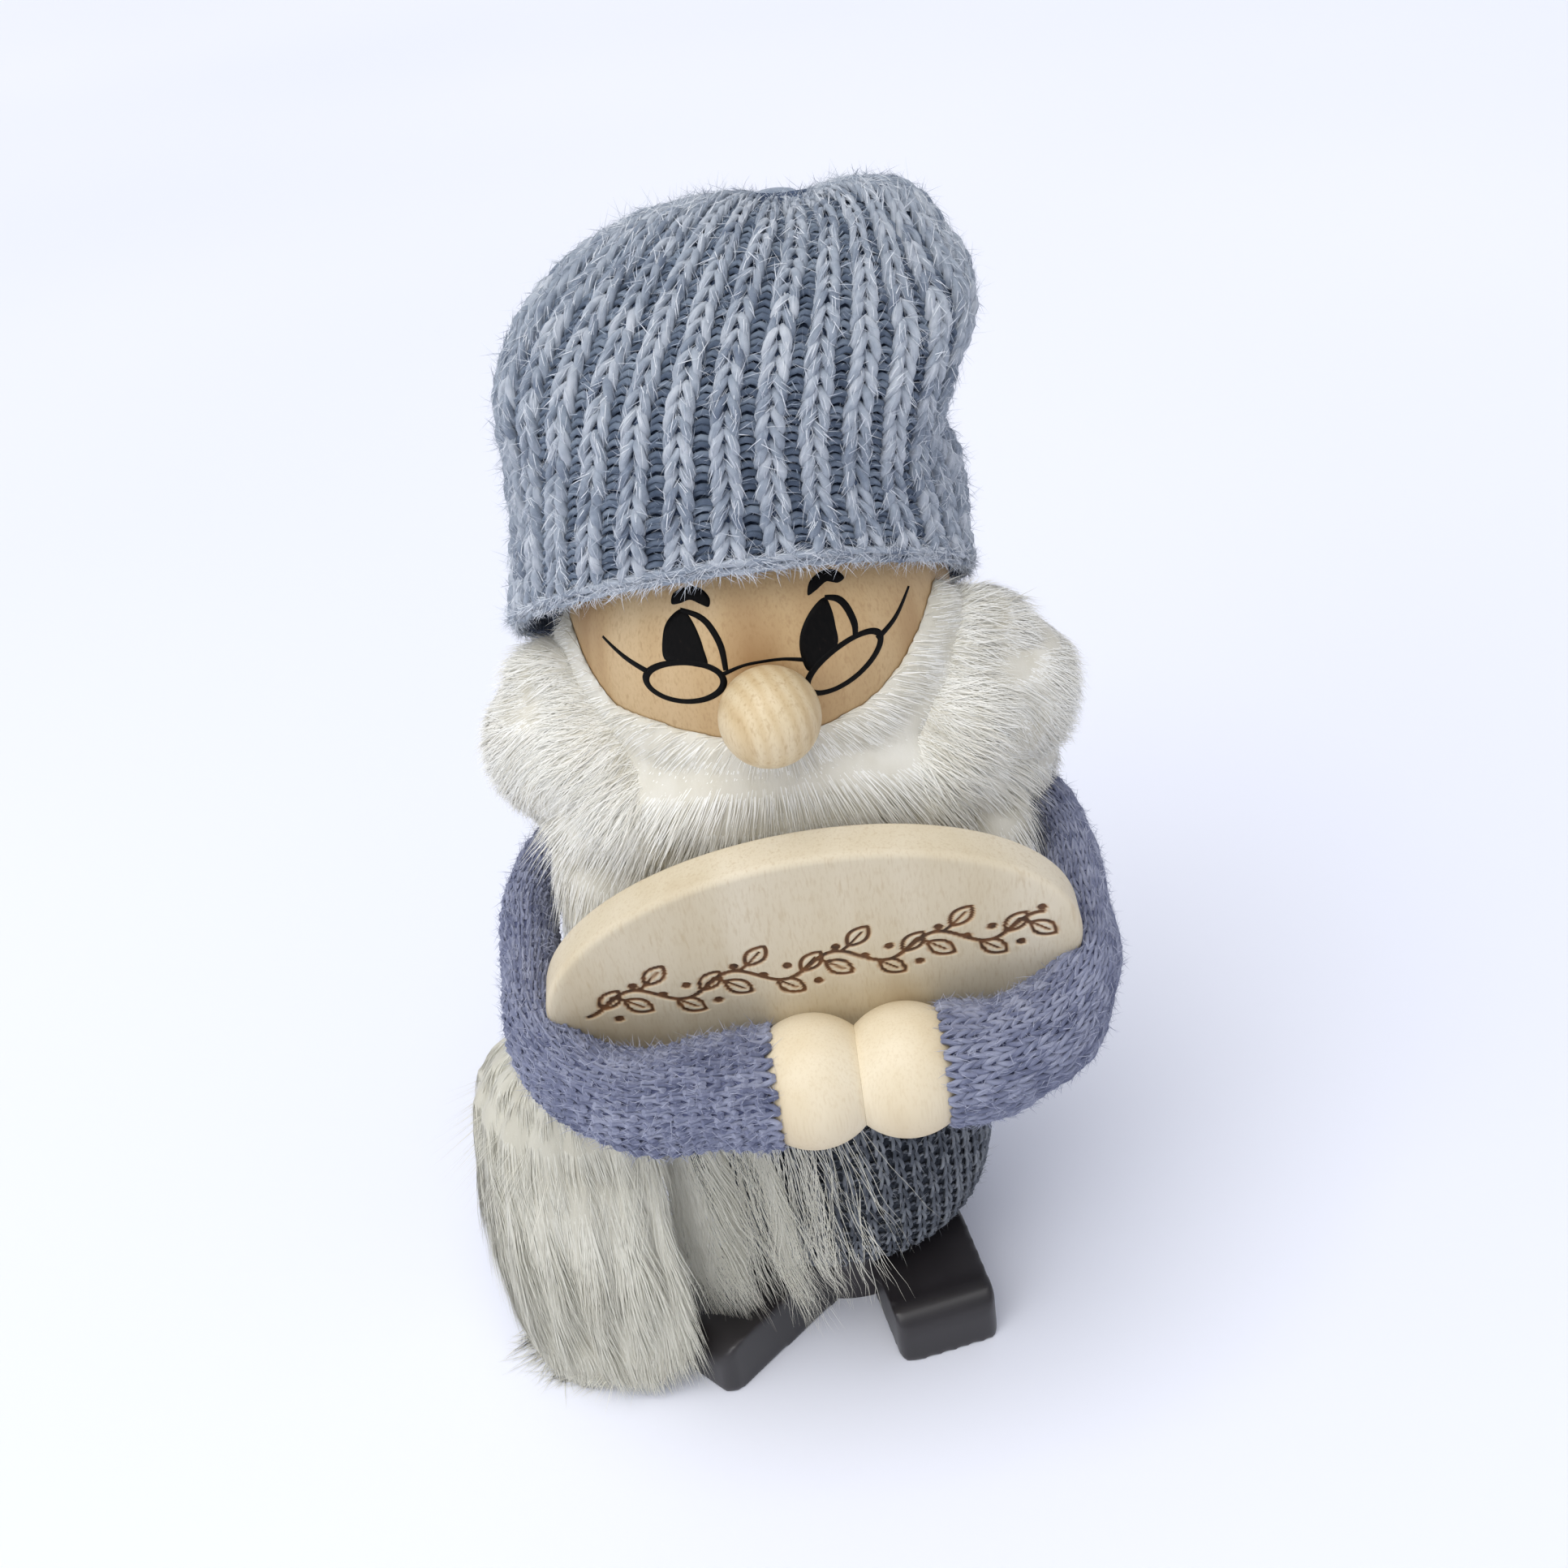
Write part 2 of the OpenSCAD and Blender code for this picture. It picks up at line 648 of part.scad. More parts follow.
module beard() {
    color("ivory") difference() {
        place() union() {
            sweep_of(chin);
            sweep_of(bib);
            sweep_of(side_lock);
            sweep_of(front_lock);
        }
        place() translate([0, 0, head_z]) sphere(r = head_r + soft_gap);
        place() rotate_extrude() polygon(concat([[0, base_h]],
            body_line(sweater_gap + sweater_t + soft_gap, body_rows), [[0, neck_z]]));
        place() translate([0, -chin_front - 20, shoulder_z]) cube([90, 40, 50], center = true);
        for (side = [RIGHT, LEFT]) place() cheek_puff(side, soft_gap);
        plate_frame() translate([0, 0, -plate_t - soft_gap]) linear_extrude(60)
            square([2.2 * plate_a, 2.2 * plate_b], center = true);
        shoe_frame(RIGHT) translate([-shoe_w / 2 - soft_gap, -shoe_reach(RIGHT) - soft_gap, -1])
            cube([shoe_w + 2 * soft_gap, shoe_reach(RIGHT), toe_h + 3 + soft_gap]);
        translate([0, 0, soft_gap - 50]) cube([400, 400, 100], center = true);
    }
}

base_block();
shoe_right();
shoe_left();
shoe_dowel_right();
shoe_dowel_left();
base_dowel();
body();
neck_dowel();
head();
nose();
nose_dowel();
sweater();
cheek_wool_right();
cheek_wool_left();
beard();
hat();
hat_wadding();
arm_wire();
sleeve_right();
sleeve_left();
arm_wadding_right();
arm_wadding_left();
hand_right();
hand_left();
plate();
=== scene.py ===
# The wooden tomte figurine: painted shoes, turned body, ball head with a printed face, wool beard,
# knitted hat, sweater and sleeves, ball hands and an oval plate with a burned vine.
import math

import bmesh
import bpy
import numpy as np
from mathutils import Matrix, Vector


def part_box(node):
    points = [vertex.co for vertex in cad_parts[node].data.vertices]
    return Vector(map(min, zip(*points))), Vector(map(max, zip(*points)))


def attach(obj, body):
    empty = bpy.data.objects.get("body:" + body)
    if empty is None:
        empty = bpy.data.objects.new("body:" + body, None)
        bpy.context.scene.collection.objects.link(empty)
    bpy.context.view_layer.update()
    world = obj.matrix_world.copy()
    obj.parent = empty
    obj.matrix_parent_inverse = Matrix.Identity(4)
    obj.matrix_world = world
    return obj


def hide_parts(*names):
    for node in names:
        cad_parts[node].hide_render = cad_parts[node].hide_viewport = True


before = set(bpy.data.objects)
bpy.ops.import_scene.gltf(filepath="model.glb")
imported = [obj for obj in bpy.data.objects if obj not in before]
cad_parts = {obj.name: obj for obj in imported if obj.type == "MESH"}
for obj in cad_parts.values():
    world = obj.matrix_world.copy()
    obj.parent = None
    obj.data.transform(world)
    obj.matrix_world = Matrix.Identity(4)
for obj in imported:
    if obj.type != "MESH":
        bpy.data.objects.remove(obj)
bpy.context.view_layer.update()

MM = 0.001
scene = bpy.context.scene

# ---- Places: everything is measured from the body's turning axis, in millimetres ----

body_low, body_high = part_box("body")
AXIS = np.array([(body_low.x + body_high.x) / 2, (body_low.y + body_high.y) / 2, 0.0])
HEAD_R = 28.5
HEAD_Z = 135.0
SHOULDER_Z = 98.0
UP = np.array([0, 0, 1.0])
ARM_FALL = 24.8


def placed(points):
    """Points in millimetres from the body's axis, as points of the frame in metres."""
    return np.asarray(points, float) * MM + AXIS


def from_axis(points):
    """Points of the frame in metres, as millimetres from the body's axis."""
    return (np.asarray(points, float) - AXIS) / MM


# ---- Camera, floor and light ----

CAMERA_PLACE = (6.01, -246.97, 267.07)
CAMERA_DOWN, CAMERA_ASIDE, CAMERA_ROLL = 33.77, -1.45, 8.33
CAMERA_LENS = 42.99


def make_camera():
    pitch, yaw, roll = (math.radians(turn) for turn in (CAMERA_DOWN, CAMERA_ASIDE, CAMERA_ROLL))
    forward = Vector((math.sin(yaw) * math.cos(pitch), math.cos(yaw) * math.cos(pitch), -math.sin(pitch)))
    level = Vector((math.cos(yaw), -math.sin(yaw), 0))
    up = level.cross(forward)
    right = level * math.cos(roll) - up * math.sin(roll)
    top = level * math.sin(roll) + up * math.cos(roll)
    data = bpy.data.cameras.new("camera")
    data.lens = CAMERA_LENS
    data.sensor_width = 36
    data.clip_start = 0.01
    camera = bpy.data.objects.new("camera", data)
    scene.collection.objects.link(camera)
    place = Matrix((right, top, -forward)).transposed().to_4x4()
    place.translation = Vector(placed(CAMERA_PLACE))
    camera.matrix_world = place
    scene.camera = camera


make_camera()


def light(name, kind, aim, power, tint, place=(0, 0, 0), **settings):
    """A lamp at that place in millimetres, shining along aim."""
    data = bpy.data.lights.new(name, kind)
    data.energy = power
    data.color = tint
    for key, value in settings.items():
        setattr(data, key, value)
    lamp = bpy.data.objects.new(name, data)
    scene.collection.objects.link(lamp)
    lamp.location = Vector(placed(place))
    lamp.rotation_euler = aim.to_track_quat("-Z", "Y").to_euler()


WINDOW = (-380, -420, 420)
CHEST = (0, 0, 90)
light("window", "AREA", Vector(placed(CHEST)) - Vector(placed(WINDOW)), 0.55, (0.97, 0.98, 1.0), WINDOW,
      shape="DISK", size=0.35)
light("overhead", "SUN", Vector((0.12, 0.35, -1.0)), 1.75, (1.0, 0.985, 0.96), angle=math.radians(50))
light("side", "SUN", Vector((1.0, 0.7, -0.9)), 0.35, (0.98, 0.99, 1.0), angle=math.radians(60))

sky = bpy.data.worlds.new("studio")
sky.use_nodes = True
sky.node_tree.nodes["Background"].inputs["Color"].default_value = (0.85, 0.88, 1.0, 1)
sky.node_tree.nodes["Background"].inputs["Strength"].default_value = 0.52
scene.world = sky
scene.view_settings.view_transform = "Standard"
scene.view_settings.look = "None"


# ---- Building materials from nodes ----

def colour(hexa):
    """Linear colour of a paint given as six hex digits."""
    parts = [int(hexa[i:i + 2], 16) / 255 for i in (0, 2, 4)]
    return tuple(p / 12.92 if p < 0.04045 else ((p + 0.055) / 1.055) ** 2.4 for p in parts) + (1,)


class Finish:
    """A material with a Principled shader and short ways to add the nodes that feed it."""

    def __init__(self, name, **sockets):
        self.material = bpy.data.materials.new(name)
        self.material.use_nodes = True
        self.tree = self.material.node_tree
        self.shader = self.tree.nodes["Principled BSDF"]
        for key, value in sockets.items():
            self.shader.inputs[key.replace("_", " ")].default_value = value

    def node(self, kind, **settings):
        made = self.tree.nodes.new(kind)
        for key, value in settings.items():
            setattr(made, key, value)
        return made

    def link(self, out, into):
        self.tree.links.new(out, into)

    def coordinates(self, scale, turn=(0, 0, 0), uv=False):
        """Object or UV coordinates, stretched by scale and turned in degrees."""
        source = self.node("ShaderNodeTexCoord").outputs["UV" if uv else "Object"]
        mapping = self.node("ShaderNodeMapping")
        mapping.inputs["Scale"].default_value = scale
        mapping.inputs["Rotation"].default_value = [math.radians(t) for t in turn]
        self.link(source, mapping.inputs["Vector"])
        return mapping.outputs["Vector"]

    def noise(self, where, scale, detail=3.0, rough=0.55, twist=0.0):
        made = self.node("ShaderNodeTexNoise")
        for key, value in (("Scale", scale), ("Detail", detail), ("Roughness", rough), ("Distortion", twist)):
            made.inputs[key].default_value = value
        self.link(where, made.inputs["Vector"])
        return made.outputs["Fac"]

    def wave(self, where, scale, distort, detail=2.0, kind="RINGS", way="Y"):
        made = self.node("ShaderNodeTexWave", wave_type=kind)
        setattr(made, "rings_direction" if kind == "RINGS" else "bands_direction", way)
        made.inputs["Detail Scale"].default_value = 1.2
        for key, value in {"Scale": scale, "Distortion": distort, "Detail": detail}.items():
            made.inputs[key].default_value = value
        self.link(where, made.inputs["Vector"])
        return made.outputs["Fac"]

    def ramp(self, fac, stops):
        made = self.node("ShaderNodeValToRGB")
        band = made.color_ramp
        while len(band.elements) < len(stops):
            band.elements.new(0.5)
        for element, (place, hexa) in zip(band.elements, stops):
            element.position = place
            element.color = colour(hexa)
        self.link(fac, made.inputs["Fac"])
        return made.outputs["Color"]

    def mix(self, fac, a, b, way="MIX"):
        """Mix of two colours; fac, a and b are sockets, or plain values."""
        made = self.node("ShaderNodeMix", data_type="RGBA", blend_type=way)
        for value, socket in ((fac, made.inputs[0]), (a, made.inputs[6]), (b, made.inputs[7])):
            if isinstance(value, bpy.types.NodeSocket):
                self.link(value, socket)
            else:
                socket.default_value = value
        return made.outputs[2]

    def span(self, fac, low, high, to_low=0.0, to_high=1.0):
        """fac between low and high, stretched to the second range."""
        made = self.node("ShaderNodeMapRange")
        for i, value in enumerate((low, high, to_low, to_high)):
            made.inputs[i + 1].default_value = value
        self.link(fac, made.inputs[0])
        return made.outputs[0]

    def maths(self, way, a, b):
        made = self.node("ShaderNodeMath", operation=way)
        for value, socket in ((a, made.inputs[0]), (b, made.inputs[1])):
            if isinstance(value, bpy.types.NodeSocket):
                self.link(value, socket)
            else:
                socket.default_value = value
        return made.outputs[0]

    def attribute(self, name):
        return self.node("ShaderNodeAttribute", attribute_name=name).outputs["Fac"]

    def paint(self, tint):
        self.link(tint, self.shader.inputs["Base Color"])

    def rough(self, fac):
        self.link(fac, self.shader.inputs["Roughness"])

    def bump(self, height, depth, strength=1.0):
        """Bump of that depth in millimetres."""
        made = self.node("ShaderNodeBump")
        made.inputs["Distance"].default_value = depth * MM
        made.inputs["Strength"].default_value = strength
        self.link(height, made.inputs["Height"])
        self.link(made.outputs["Normal"], self.shader.inputs["Normal"])


def wood(name, pale, mid, dark, turn=(0, 0, 0), bands=18, band_share=0.2, pores=0.5, roughness=0.55,
         stretch=0.06):
    """Turned or sawn wood: growth bands, long fine fibres and short pores, along z before it is turned."""
    f = Finish(name, Roughness=roughness)
    f.shader.inputs["Specular IOR Level"].default_value = 0.3
    along = f.coordinates((1, 1, 0.12), turn)
    fine = f.coordinates((1, 1, stretch), turn)
    growth = f.wave(along, bands, 2.5, 2.0, "BANDS", "X")
    cloud = f.noise(along, 60, 3)
    fibre = f.noise(fine, 3000, 2)
    fleck = f.noise(fine, 1900, 2, 0.4)
    tone = f.maths("ADD", f.maths("MULTIPLY", growth, band_share), f.maths("MULTIPLY", cloud, 1 - band_share))
    tint = f.ramp(tone, ((0.3, pale), (0.5, mid), (0.72, dark)))
    tint = f.mix(f.span(fibre, 0.5, 0.72, 0, 0.3), tint, colour(dark))
    tint = f.mix(f.span(fleck, 0.58, 0.72, 0, pores), tint, colour(dark))
    f.paint(tint)
    f.rough(f.span(cloud, 0.3, 0.7, roughness - 0.07, roughness + 0.1))
    f.bump(f.maths("ADD", fibre, fleck), 0.025, 0.5)
    return f


plain_maple = wood("turned maple", "eadfc6", "dfd0b1", "cdb892", (0, 90, 0), 60, 0.15, 0.2, 0.45).material
face_wood = wood("head wood", "d2b990", "c2a478", "a07c52", (0, 0, 0), 25, 0.1, 0.35, 0.5, 0.4).material
nose_wood = wood("nose wood", "dccaa6", "cfb88f", "b09065", (40, 35, 0), 170, 0.16, 0.4, 0.4, 0.3).material
body_wood = wood("body wood", "e0c596", "d0b07e", "b08d5b").material
dowel_wood = wood("dowel wood", "e2c899", "d4b582", "b5935f").material


def black_paint():
    f = Finish("black satin paint", Roughness=0.4)
    f.shader.inputs["Coat Weight"].default_value = 0.25
    f.shader.inputs["Coat Roughness"].default_value = 0.3
    where = f.coordinates((1, 1, 1))
    grain = f.noise(f.coordinates((1, 1, 0.15)), 900, 3)
    cloud = f.noise(where, 70, 3)
    # The paint is lighter along sharp convex edges.
    sharp_edges = f.node("ShaderNodeNewGeometry").outputs["Pointiness"]
    tint = f.ramp(cloud, ((0.3, "1b1819"), (0.7, "262224")))
    f.paint(f.mix(f.span(sharp_edges, 0.53, 0.6, 0, 0.35), tint, colour("4a4347")))
    f.rough(f.span(cloud, 0.3, 0.7, 0.34, 0.5))
    f.bump(grain, 0.02, 0.6)
    return f.material


black = black_paint()


def bare_wire():
    f = Finish("bare steel wire", Metallic=1.0, Roughness=0.35)
    f.paint(f.ramp(f.noise(f.coordinates((1, 1, 1)), 300), ((0.3, "8d8f92"), (0.7, "b9bbbd"))))
    return f.material


wire_steel = bare_wire()


def yarn(name, light, middle, dark, shade_z=None):
    """Spun yarn: fibres twist round it, and light and dark wool are blended; given two heights, it gets
    painted shade that deepens from the upper height down to the lower one, for the shade under the hem.
    """
    f = Finish(name, Roughness=0.95)
    f.shader.inputs["Specular IOR Level"].default_value = 0.12
    f.shader.inputs["Sheen Weight"].default_value = 0.35
    f.shader.inputs["Sheen Roughness"].default_value = 0.5
    f.shader.inputs["Sheen Tint"].default_value = colour(light)
    fibre = f.noise(f.coordinates((450, 9, 1), (0, 0, 24), uv=True), 1.0, 3, 0.6)
    blend = f.noise(f.coordinates((1, 1, 1)), 420, 2, 0.6)
    patch = f.noise(f.coordinates((1, 1, 1)), 60, 2)
    shade = f.attribute("shade")
    tone = f.maths("ADD", f.maths("MULTIPLY", fibre, 0.42), f.maths("MULTIPLY", blend, 0.30))
    tone = f.maths("ADD", tone, f.maths("MULTIPLY", patch, 0.10))
    tone = f.maths("ADD", tone, f.maths("MULTIPLY", shade, 0.18))
    tint = f.ramp(tone, ((0.34, dark), (0.5, middle), (0.66, light)))
    # Painted shade: the yarn darkens toward the hem, where the cloth turns under in shadow.
    if shade_z:
        z = f.node("ShaderNodeSeparateXYZ")
        f.link(f.coordinates((1, 1, 1)), z.inputs[0])
        tint = f.mix(f.span(z.outputs["Z"], shade_z[0] * MM, shade_z[1] * MM, 0.75, 0), tint, colour(dark))
    f.paint(tint)
    f.bump(fibre, 0.12, 0.7)
    return f.material


hat_yarn = yarn("hat yarn", "dbe0e6", "a9b3bf", "647186")
# Painted shade: the purl bars between the ribs are the hat's own yarn, coloured darker for the shade in the
# rib valleys.
purl_yarn_in_shade = yarn("hat yarn between the ribs", "9ca8b6", "6b788a", "3f4b5e")
sleeve_yarn = yarn("sleeve yarn", "abafc2", "868ba3", "575d78")
# The sweater gets painted shade below 24 mm, deepest at 15 mm, for the shadow under its hem.
sweater_yarn = yarn("sweater yarn", "a4a8ac", "6f747c", "3c4149", (15, 24))


def shaded_ground(name, tint, deep):
    """The layer behind the stitches, coloured dark as painted shade in the gaps between them."""
    f = Finish(name, Roughness=1.0)
    f.shader.inputs["Specular IOR Level"].default_value = 0.05
    mesh = f.noise(f.coordinates((1, 1, 1)), 900, 3)
    f.paint(f.ramp(mesh, ((0.35, deep), (0.65, tint))))
    f.bump(mesh, 0.2, 0.6)
    return f.material


hat_ground = shaded_ground("hat ground yarn", "56637a", "333e50")
sleeve_ground = shaded_ground("sleeve ground yarn", "666b88", "454961")
sweater_ground = shaded_ground("sweater ground yarn", "4b5058", "26292e")


def fluff(name, light, shadow):
    """Loose fibre: wool strands, fuzz and cotton."""
    f = Finish(name, Roughness=1.0)
    f.shader.inputs["Specular IOR Level"].default_value = 0.05
    f.shader.inputs["Sheen Weight"].default_value = 0.3
    f.shader.inputs["Sheen Roughness"].default_value = 0.45
    lock = f.noise(f.coordinates((1, 1, 0.3)), 160, 3)
    fine = f.noise(f.coordinates((1, 1, 0.12)), 1600, 2)
    shade = f.attribute("shade")
    tone = f.maths("ADD", f.maths("MULTIPLY", lock, 0.5), f.maths("MULTIPLY", shade, 0.5))
    f.paint(f.ramp(tone, ((0.15, shadow), (0.6, light))))
    f.bump(fine, 0.15, 0.5)
    return f.material


beard_wool = fluff("beard wool", "f7f6ef", "cfcab9")
# Painted shade: the fall is the beard's own wool, coloured darker for the shade it hangs in.
shaded_fall_wool = fluff("long wool of the fall", "dddbcd", "c3bfae")
cotton = fluff("cotton wadding", "f4f2ea", "d9d5c8")
hat_fuzz = fluff("hat fuzz", "e2e6ea", "8c98ab")
# Painted shade: fuzz of the hat's own yarn, coloured darker for the shade in the rib valleys.
purl_fuzz_in_shade = fluff("fuzz between the ribs", "a9b4c1", "56637a")
sleeve_fuzz = fluff("sleeve fuzz", "b4b8ca", "757b98")
sweater_fuzz = fluff("sweater fuzz", "a3a6a9", "4d525a")


# ---- Mesh helpers ----

def shown(name, vertices, faces, material, smooth=True):
    """A new object from points in metres and faces."""
    mesh = bpy.data.meshes.new(name)
    mesh.from_pydata([tuple(v) for v in vertices], [], faces)
    mesh.validate()
    mesh.update()
    mesh.shade_smooth() if smooth else mesh.shade_flat()
    piece = bpy.data.objects.new(name, mesh)
    scene.collection.objects.link(piece)
    if material:
        mesh.materials.append(material)
    return piece


def grid_faces(rows, columns, closed=True):
    """Faces of rows of points; a closed row joins its last point to its first."""
    faces = []
    for r in range(rows - 1):
        for c in range(columns if closed else columns - 1):
            d = (c + 1) % columns
            faces.append((r * columns + c, r * columns + d, (r + 1) * columns + d, (r + 1) * columns + c))
    return faces


def shell(name, outer, inner, material, closed_top):
    """Closed wall between two skins of rows, from the lower edge up; closed_top joins both tops to points."""
    rows = list(inner[::-1]) + list(outer)
    columns = len(outer[0])
    points = np.concatenate(rows)
    faces = grid_faces(len(rows), columns)
    last = (len(rows) - 1) * columns
    if closed_top:
        tip, inner_tip = outer[-1].mean(0), inner[-1].mean(0)
        points = np.vstack([points, tip, inner_tip])
        n = len(points)
        for c in range(columns):
            d = (c + 1) % columns
            faces.append((last + c, last + d, n - 2))
            faces.append((d, c, n - 1))
    else:
        for c in range(columns):
            d = (c + 1) % columns
            faces.append((last + c, last + d, d, c))
    piece = shown(name, placed(points), faces, material)
    outwards(piece)
    return piece


def outwards(piece):
    work = bmesh.new()
    work.from_mesh(piece.data)
    bmesh.ops.remove_doubles(work, verts=work.verts, dist=0.01 * MM)
    bmesh.ops.recalc_face_normals(work, faces=work.faces)
    work.to_mesh(piece.data)
    work.free()


def applied(piece):
    """The piece with its modifiers made part of its mesh."""
    bpy.context.view_layer.update()
    mesh = bpy.data.meshes.new_from_object(piece.evaluated_get(bpy.context.evaluated_depsgraph_get()))
    piece.modifiers.clear()
    piece.data = mesh
    return piece


def soft_copy(name, node, voxel, smoothing, material, balls=()):
    """A new piece in the shape of a CAD node and some balls, remeshed and smoothed."""
    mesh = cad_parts[node].data.copy()
    mesh.materials.clear()
    mesh.materials.append(material)
    piece = bpy.data.objects.new(name, mesh)
    scene.collection.objects.link(piece)
    work = bmesh.new()
    work.from_mesh(mesh)
    bmesh.ops.remove_doubles(work, verts=work.verts, dist=0.002 * MM)
    for x, y, z, radius in balls:
        spot = Matrix.Translation(Vector(placed((x, y, z))))
        bmesh.ops.create_icosphere(work, subdivisions=2, radius=radius * MM, matrix=spot)
    work.to_mesh(mesh)
    work.free()
    remesh = piece.modifiers.new("remesh", "REMESH")
    remesh.mode = "VOXEL"
    remesh.voxel_size = voxel * MM
    remesh.use_smooth_shade = True
    smooth = piece.modifiers.new("smooth", "SMOOTH")
    smooth.factor = 0.5
    smooth.iterations = smoothing
    applied(piece)
    piece.data.shade_smooth()
    return piece


def unit(vectors):
    return vectors / (np.linalg.norm(vectors, axis=1)[:, None] + 1e-9)


def smooth_line(points, steps=8, closed=False):
    """A smooth curve through the points."""
    p = np.asarray(points, float)
    n = len(p)
    line = []
    for i in range(n if closed else n - 1):
        if closed:
            a, b, c, d = p[i - 1], p[i], p[(i + 1) % n], p[(i + 2) % n]
        else:
            a, b, c, d = p[max(i - 1, 0)], p[i], p[i + 1], p[min(i + 2, n - 1)]
        for k in range(steps):
            t = k / steps
            line.append(0.5 * (2 * b + (c - a) * t + (2 * a - 5 * b + 4 * c - d) * t * t
                               + (3 * b - a - 3 * c + d) * t ** 3))
    if not closed:
        line.append(p[-1])
    return np.array(line)


def points_of(piece):
    flat = np.empty(len(piece.data.vertices) * 3, np.float32)
    piece.data.vertices.foreach_get("co", flat)
    return flat.reshape(-1, 3).astype(float)


def move_points(piece, points):
    """Puts the piece's points at places in millimetres from the axis."""
    piece.data.vertices.foreach_set("co", placed(points).ravel().astype(np.float32))
    piece.data.update()


def normals_of(piece):
    flat = np.empty(len(piece.data.vertices) * 3, np.float32)
    piece.data.vertex_normals.foreach_get("vector", flat)
    return flat.reshape(-1, 3).astype(float)


def give(piece, name, kind, values):
    """Stores one value for each of the piece's points."""
    made = piece.data.attributes.new(name, kind, "POINT")
    field = "vector" if kind == "FLOAT_VECTOR" else "value"
    made.data.foreach_set(field, np.ravel(values).astype(np.float32))


# ---- Geometry Nodes trees ----

class Recipe:
    """A Geometry Nodes tree with named inputs and short ways to add its nodes."""

    def __init__(self, name, **inputs):
        self.tree = bpy.data.node_groups.new(name, "GeometryNodeTree")
        sockets = [("Geometry", "INPUT", "Geometry"), ("Geometry", "OUTPUT", "Geometry")]
        sockets += [(key.replace("_", " "), "INPUT", kind) for key, kind in inputs.items()]
        for key, way, kind in sockets:
            self.tree.interface.new_socket(key, in_out=way, socket_type="NodeSocket" + kind)
        self.entry = self.tree.nodes.new("NodeGroupInput")
        self.exit = self.tree.nodes.new("NodeGroupOutput")

    def input(self, name):
        return self.entry.outputs[name.replace("_", " ")]

    def node(self, kind, feeds=None, **settings):
        """A node with its settings; feeds gives a socket or a value for each named or numbered input."""
        made = self.tree.nodes.new(kind)
        for key, value in settings.items():
            setattr(made, key, value)
        for key, value in (feeds or {}).items():
            socket = made.inputs[key]
            if isinstance(value, bpy.types.NodeSocket):
                self.tree.links.new(value, socket)
            else:
                socket.default_value = value
        return made

    def store(self, geometry, name, value, kind="FLOAT", domain="POINT"):
        feeds = {"Geometry": geometry, "Name": name, "Value": value}
        return self.node("GeometryNodeStoreNamedAttribute", feeds, data_type=kind, domain=domain).outputs[0]

    def maths(self, way, a, b=0.0):
        return self.node("ShaderNodeMath", {0: a, 1: b}, operation=way).outputs[0]

    def vector(self, way, a, b=(0, 0, 0)):
        made = self.node("ShaderNodeVectorMath", {0: a}, operation=way)
        socket = made.inputs["Scale" if way == "SCALE" else 1]
        if isinstance(b, bpy.types.NodeSocket):
            self.tree.links.new(b, socket)
        else:
            socket.default_value = b
        return made.outputs[0]

    def attribute(self, name, kind="FLOAT"):
        made = self.node("GeometryNodeInputNamedAttribute", {"Name": name}, data_type=kind)
        return made.outputs["Attribute"]

    def matrix(self, x, y, z, place):
        feeds = {}
        for column, vector in enumerate((x, y, z, place), 1):
            parts = self.node("ShaderNodeSeparateXYZ", {0: vector}).outputs
            for row in range(3):
                feeds[f"Column {column} Row {row + 1}"] = parts[row]
        return self.node("FunctionNodeCombineMatrix", feeds).outputs["Matrix"]

    def finish(self, geometry, material):
        real = self.node("GeometryNodeRealizeInstances", {"Geometry": geometry}).outputs[0]
        painted = self.node("GeometryNodeSetMaterial", {"Geometry": real, "Material": material}).outputs[0]
        smooth = self.node("GeometryNodeSetShadeSmooth", {"Geometry": painted}).outputs[0]
        self.tree.links.new(smooth, self.exit.inputs[0])


def grow(name, base, recipe, **values):
    """Runs the recipe on the base and returns its result as a plain mesh; the base is removed."""
    modifier = base.modifiers.new("recipe", "NODES")
    modifier.node_group = recipe.tree
    for item in recipe.tree.interface.items_tree:
        key = item.name.replace(" ", "_")
        if item.in_out == "INPUT" and key in values:
            modifier[item.identifier] = values[key]
    base.update_tag()
    bpy.context.view_layer.update()
    mesh = bpy.data.meshes.new_from_object(base.evaluated_get(bpy.context.evaluated_depsgraph_get()))
    bpy.data.objects.remove(base)
    made = bpy.data.objects.new(name, mesh)
    scene.collection.objects.link(made)
    return made


